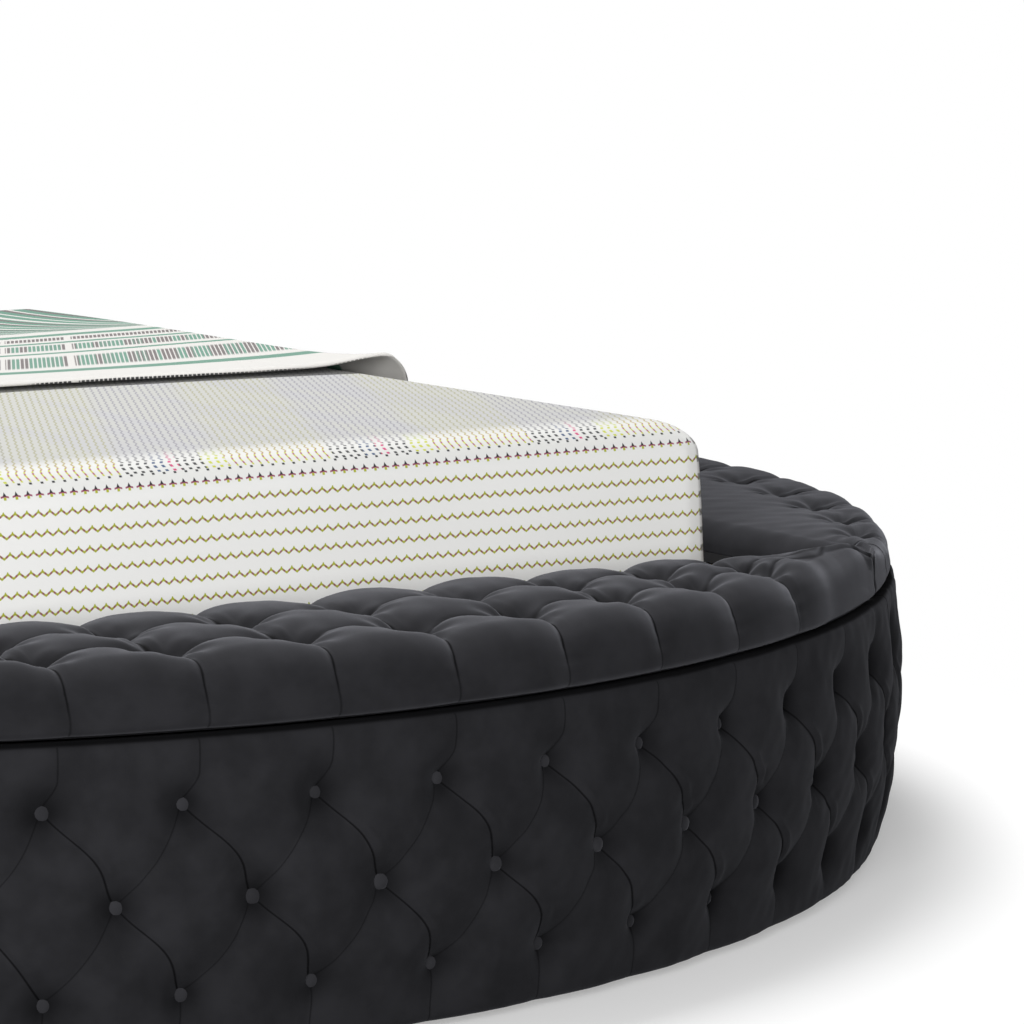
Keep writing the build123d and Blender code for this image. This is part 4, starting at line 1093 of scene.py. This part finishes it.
def build_blanket():
    """The folded-edge blanket: it lies over the mattress and hangs down both sides in folds."""
    half = MATTRESS_HIGH.x + BLANKET_LIFT
    top = MATTRESS_HIGH.z + BLANKET_LIFT + CROWN
    drop = MATTRESS_HIGH.z - BLANKET_LOW.z - 0.004
    edge_y, head_y = BLANKET_LOW.y + 0.001, BLANKET_HIGH.y - 0.001
    flat = half - EDGE
    arc = EDGE * pi / 2
    total = 2 * (flat + arc + drop - EDGE)
    along = np.linspace(-total / 2, total / 2, ACROSS_POINTS)
    lengths = np.linspace(edge_y, head_y, LENGTH_POINTS)
    rows = []
    for y in lengths:
        inward = y - edge_y
        t = np.abs(along)
        side = np.sign(along)
        stiff = np.exp(-(inward / 0.11) ** 1.5) * np.where(side > 0, 1.0, 0.45)
        level = flat + 0.050 * stiff
        bend = EDGE - 0.003 * stiff
        on_arc = np.clip((t - level) / bend, 0, pi / 2)
        x = np.where(t < level, t, level + bend * np.sin(on_arc))
        z = np.where(t < level, top, top - bend + bend * np.cos(on_arc))
        below = np.maximum(t - level - bend * pi / 2, 0)
        z = z - below
        swing = below / (drop - EDGE)
        folds = 0.5 - 0.5 * np.cos(inward / FOLD_STEP * 2 * pi + 0.6 * side)
        x = x + swing ** 1.4 * (0.004 + 0.014 * folds)
        ripple = 0.0030 * (1 + waves(along * 5, y * 7, 5, 0.6, 1.8, 61)) / 2
        swell = 0.5 + 0.5 * waves(along * 2.2, y * 2.4, 4, 0.7, 1.6, 62)
        swell = 0.006 * ease(inward / 0.25) * swell
        z = z + np.where(t < flat + arc, ripple + np.maximum(swell, 0), 0)
        lift = 0.012 * np.exp(-((along - flat - 0.05) / 0.08) ** 2) * np.exp(-inward / 0.12)
        z = z + lift + 0.003 * np.exp(-inward / 0.03)
        rows.append(np.stack([side * x, np.full(len(along), y), z], axis=-1))
    lower = np.array(rows)
    out = unit(np.cross(np.gradient(lower, axis=1), np.gradient(lower, axis=0)))
    inward = (lengths - edge_y)[:, None]
    at_edge = np.sqrt(1 - (1 - np.clip(inward / BLANKET_HEM, 0.05, 1)) ** 2)
    at_side = 0.4 + 0.6 * ease((total / 2 - np.abs(along)) / BLANKET_HEM)
    upper = lower + out * (BLANKET_THICK * at_edge * at_side)[..., None]
    ring = np.concatenate([lower, upper[:, ::-1]], axis=1)
    piece = grid_mesh("blanket_cloth", ring, flip=True)
    return piece, (total, head_y - edge_y)


blanket, blanket_flat = build_blanket()
finish_piece(blanket, "frame", blanket_material(BLANKET_LOW.y), "blanket_cloth", "blanket")

# Thin velvet covers on the inner walls

COVER_GAP = 0.0004
COVER_FACE = 0.0032
COVER_EDGE = 0.001


def build_cover(name, turn, chord, reach):
    """One thin padded cover on the well side of a straight wall."""
    low, high = [corner.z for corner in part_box("inner_wall_covers")]
    low += COVER_GAP
    wall, face = chord - COVER_GAP, chord - COVER_FACE
    outline = [(wall, low), (wall, high - COVER_EDGE), (wall - COVER_EDGE, high),
               (face + COVER_EDGE, high), (face, high - 0.0012),
               (face - 0.0003, (low + high) / 2), (face, low)]
    stations = np.linspace(-reach, reach, 60)
    grid = np.array([[(x, -across, z) for across, z in outline] for x in stations])
    return grid_mesh(name, turned(grid, turn))


covers = {"foot": (END_CHORD, 0.885), "head": (END_CHORD, 0.885),
          "right": (SIDE_CHORD, 0.993), "left": (SIDE_CHORD, 0.993)}
for side, (chord, reach) in covers.items():
    piece = build_cover(f"{side}_wall_cover", TURNS[side], chord, reach)
    finish_piece(piece, "frame", PLAIN_VELVET, "velvet", "inner_wall_covers")

# Materials of the carried-over CAD nodes

SLATS = wood_look("slat_timber", (0.045, 0.038, 0.032, 1), (0.020, 0.017, 0.015, 1), (4, 40, 40))
LINING = plain_look("board_lining", (0.020, 0.020, 0.022, 1), 0.9, 700.0)
MATERIALS = {
    "velvet": PLAIN_VELVET,
    "plywood": wood_look("plywood", (0.62, 0.45, 0.28, 1), (0.47, 0.31, 0.17, 1), (3, 40, 40), True),
    "timber": wood_look("timber", (0.66, 0.47, 0.27, 1), (0.50, 0.32, 0.15, 1), (40, 4, 40)),
    "black_steel": metal_look("black_steel", (0.03, 0.03, 0.032, 1), 0.45, 0.6),
    "zinc_steel": metal_look("zinc_steel", (0.62, 0.63, 0.65, 1), 0.32),
    "nylon": plain_look("nylon", (0.03, 0.03, 0.03, 1), 0.5, 200.0),
    "felt": plain_look("felt", (0.20, 0.19, 0.18, 1), 0.95, 500.0),
    "webbing": plain_look("webbing", (0.10, 0.10, 0.11, 1), 0.9, 300.0),
    "sheet_cloth": SHEET,
    "blanket_cloth": SHEET,
}
for entry in frame["record"]["subparts"]:
    node, slot_name = entry["node"], entry["material_slot"]
    mesh = frame["nodes"][node].data
    mesh.materials.clear()
    if node.endswith("_lid_board") or node == "headboard_panel":
        mesh.materials.append(LINING)
    elif node in ("slats", "slat_cleats"):
        mesh.materials.append(SLATS)
    else:
        mesh.materials.append(MATERIALS[slot_name])

# Floor, light, world and camera

TARGET = Vector((0.35, -1.1, 0.35))
FLOOR_LIT = (0.36, 0.36, 0.36, 1.0)
FLOOR_SEEN = (0.93, 0.93, 0.93, 1.0)
FLOOR_FADE = (1.45, 2.15)


def floor_material():
    """A pale floor that keeps the shadow near the bed and turns plain white away from it."""
    kit = new_material("studio_floor", 0.9)
    seen = kit.camera_sees()
    kit.set("Base Color", kit.mix(seen, FLOOR_LIT, FLOOR_SEEN))
    kit.set("Specular IOR Level", 0.1)
    distance = kit.run("ShaderNodeVectorMath", ((0, kit.place()),), "Value", operation="LENGTH")
    away = distance.ramp(*FLOOR_FADE, 0.35, 1.0) * seen
    surface = Value(kit, kit.tree.nodes["Principled BSDF"].outputs[0])
    kit.show("Material Output", away, surface, kit.run("ShaderNodeEmission"))
    return kit.owner


bpy.ops.mesh.primitive_plane_add(size=60.0, location=(0, 0, 0))
floor = bpy.context.active_object
floor.name = "studio_floor"
floor.data.materials.append(floor_material())


def area_light(name, place, size, energy):
    """A soft square light that looks at the near half of the bed."""
    data = bpy.data.lights.new(name, "AREA")
    data.size = size
    data.energy = energy
    lamp = bpy.data.objects.new(name, data)
    bpy.context.scene.collection.objects.link(lamp)
    lamp.location = place
    lamp.rotation_euler = (TARGET - Vector(place)).to_track_quat("-Z", "Y").to_euler()


area_light("top_light", (0.2, 0.8, 5.0), 2.6, 370.0)
area_light("front_light", (-4.6, -6.8, 2.4), 4.0, 680.0)

world = bpy.data.worlds.new("studio")
bpy.context.scene.world = world
kit = Nodes(world)
dim, bright = [kit.run("ShaderNodeBackground", (("Color", (1.0, 1.0, 1.0, 1.0)),
                                                ("Strength", strength)))
               for strength in (0.14, 1.0)]
kit.show("World Output", kit.camera_sees(), dim, bright)

CAMERA_PLACE = Vector((-2.543, -5.455, 1.276))
CAMERA_YAW = 33.9
CAMERA_PITCH = -7.7
CAMERA_LENS = 140.6
SENSOR = 36.0
data = bpy.data.cameras.new("photo_camera")
data.lens = CAMERA_LENS
data.sensor_width = SENSOR
data.clip_end = 100.0
camera = bpy.data.objects.new("photo_camera", data)
bpy.context.scene.collection.objects.link(camera)
camera.location = CAMERA_PLACE
camera.rotation_euler = (radians(90 + CAMERA_PITCH), 0.0, radians(-CAMERA_YAW))
bpy.context.scene.camera = camera
bpy.context.scene.view_settings.view_transform = "Standard"
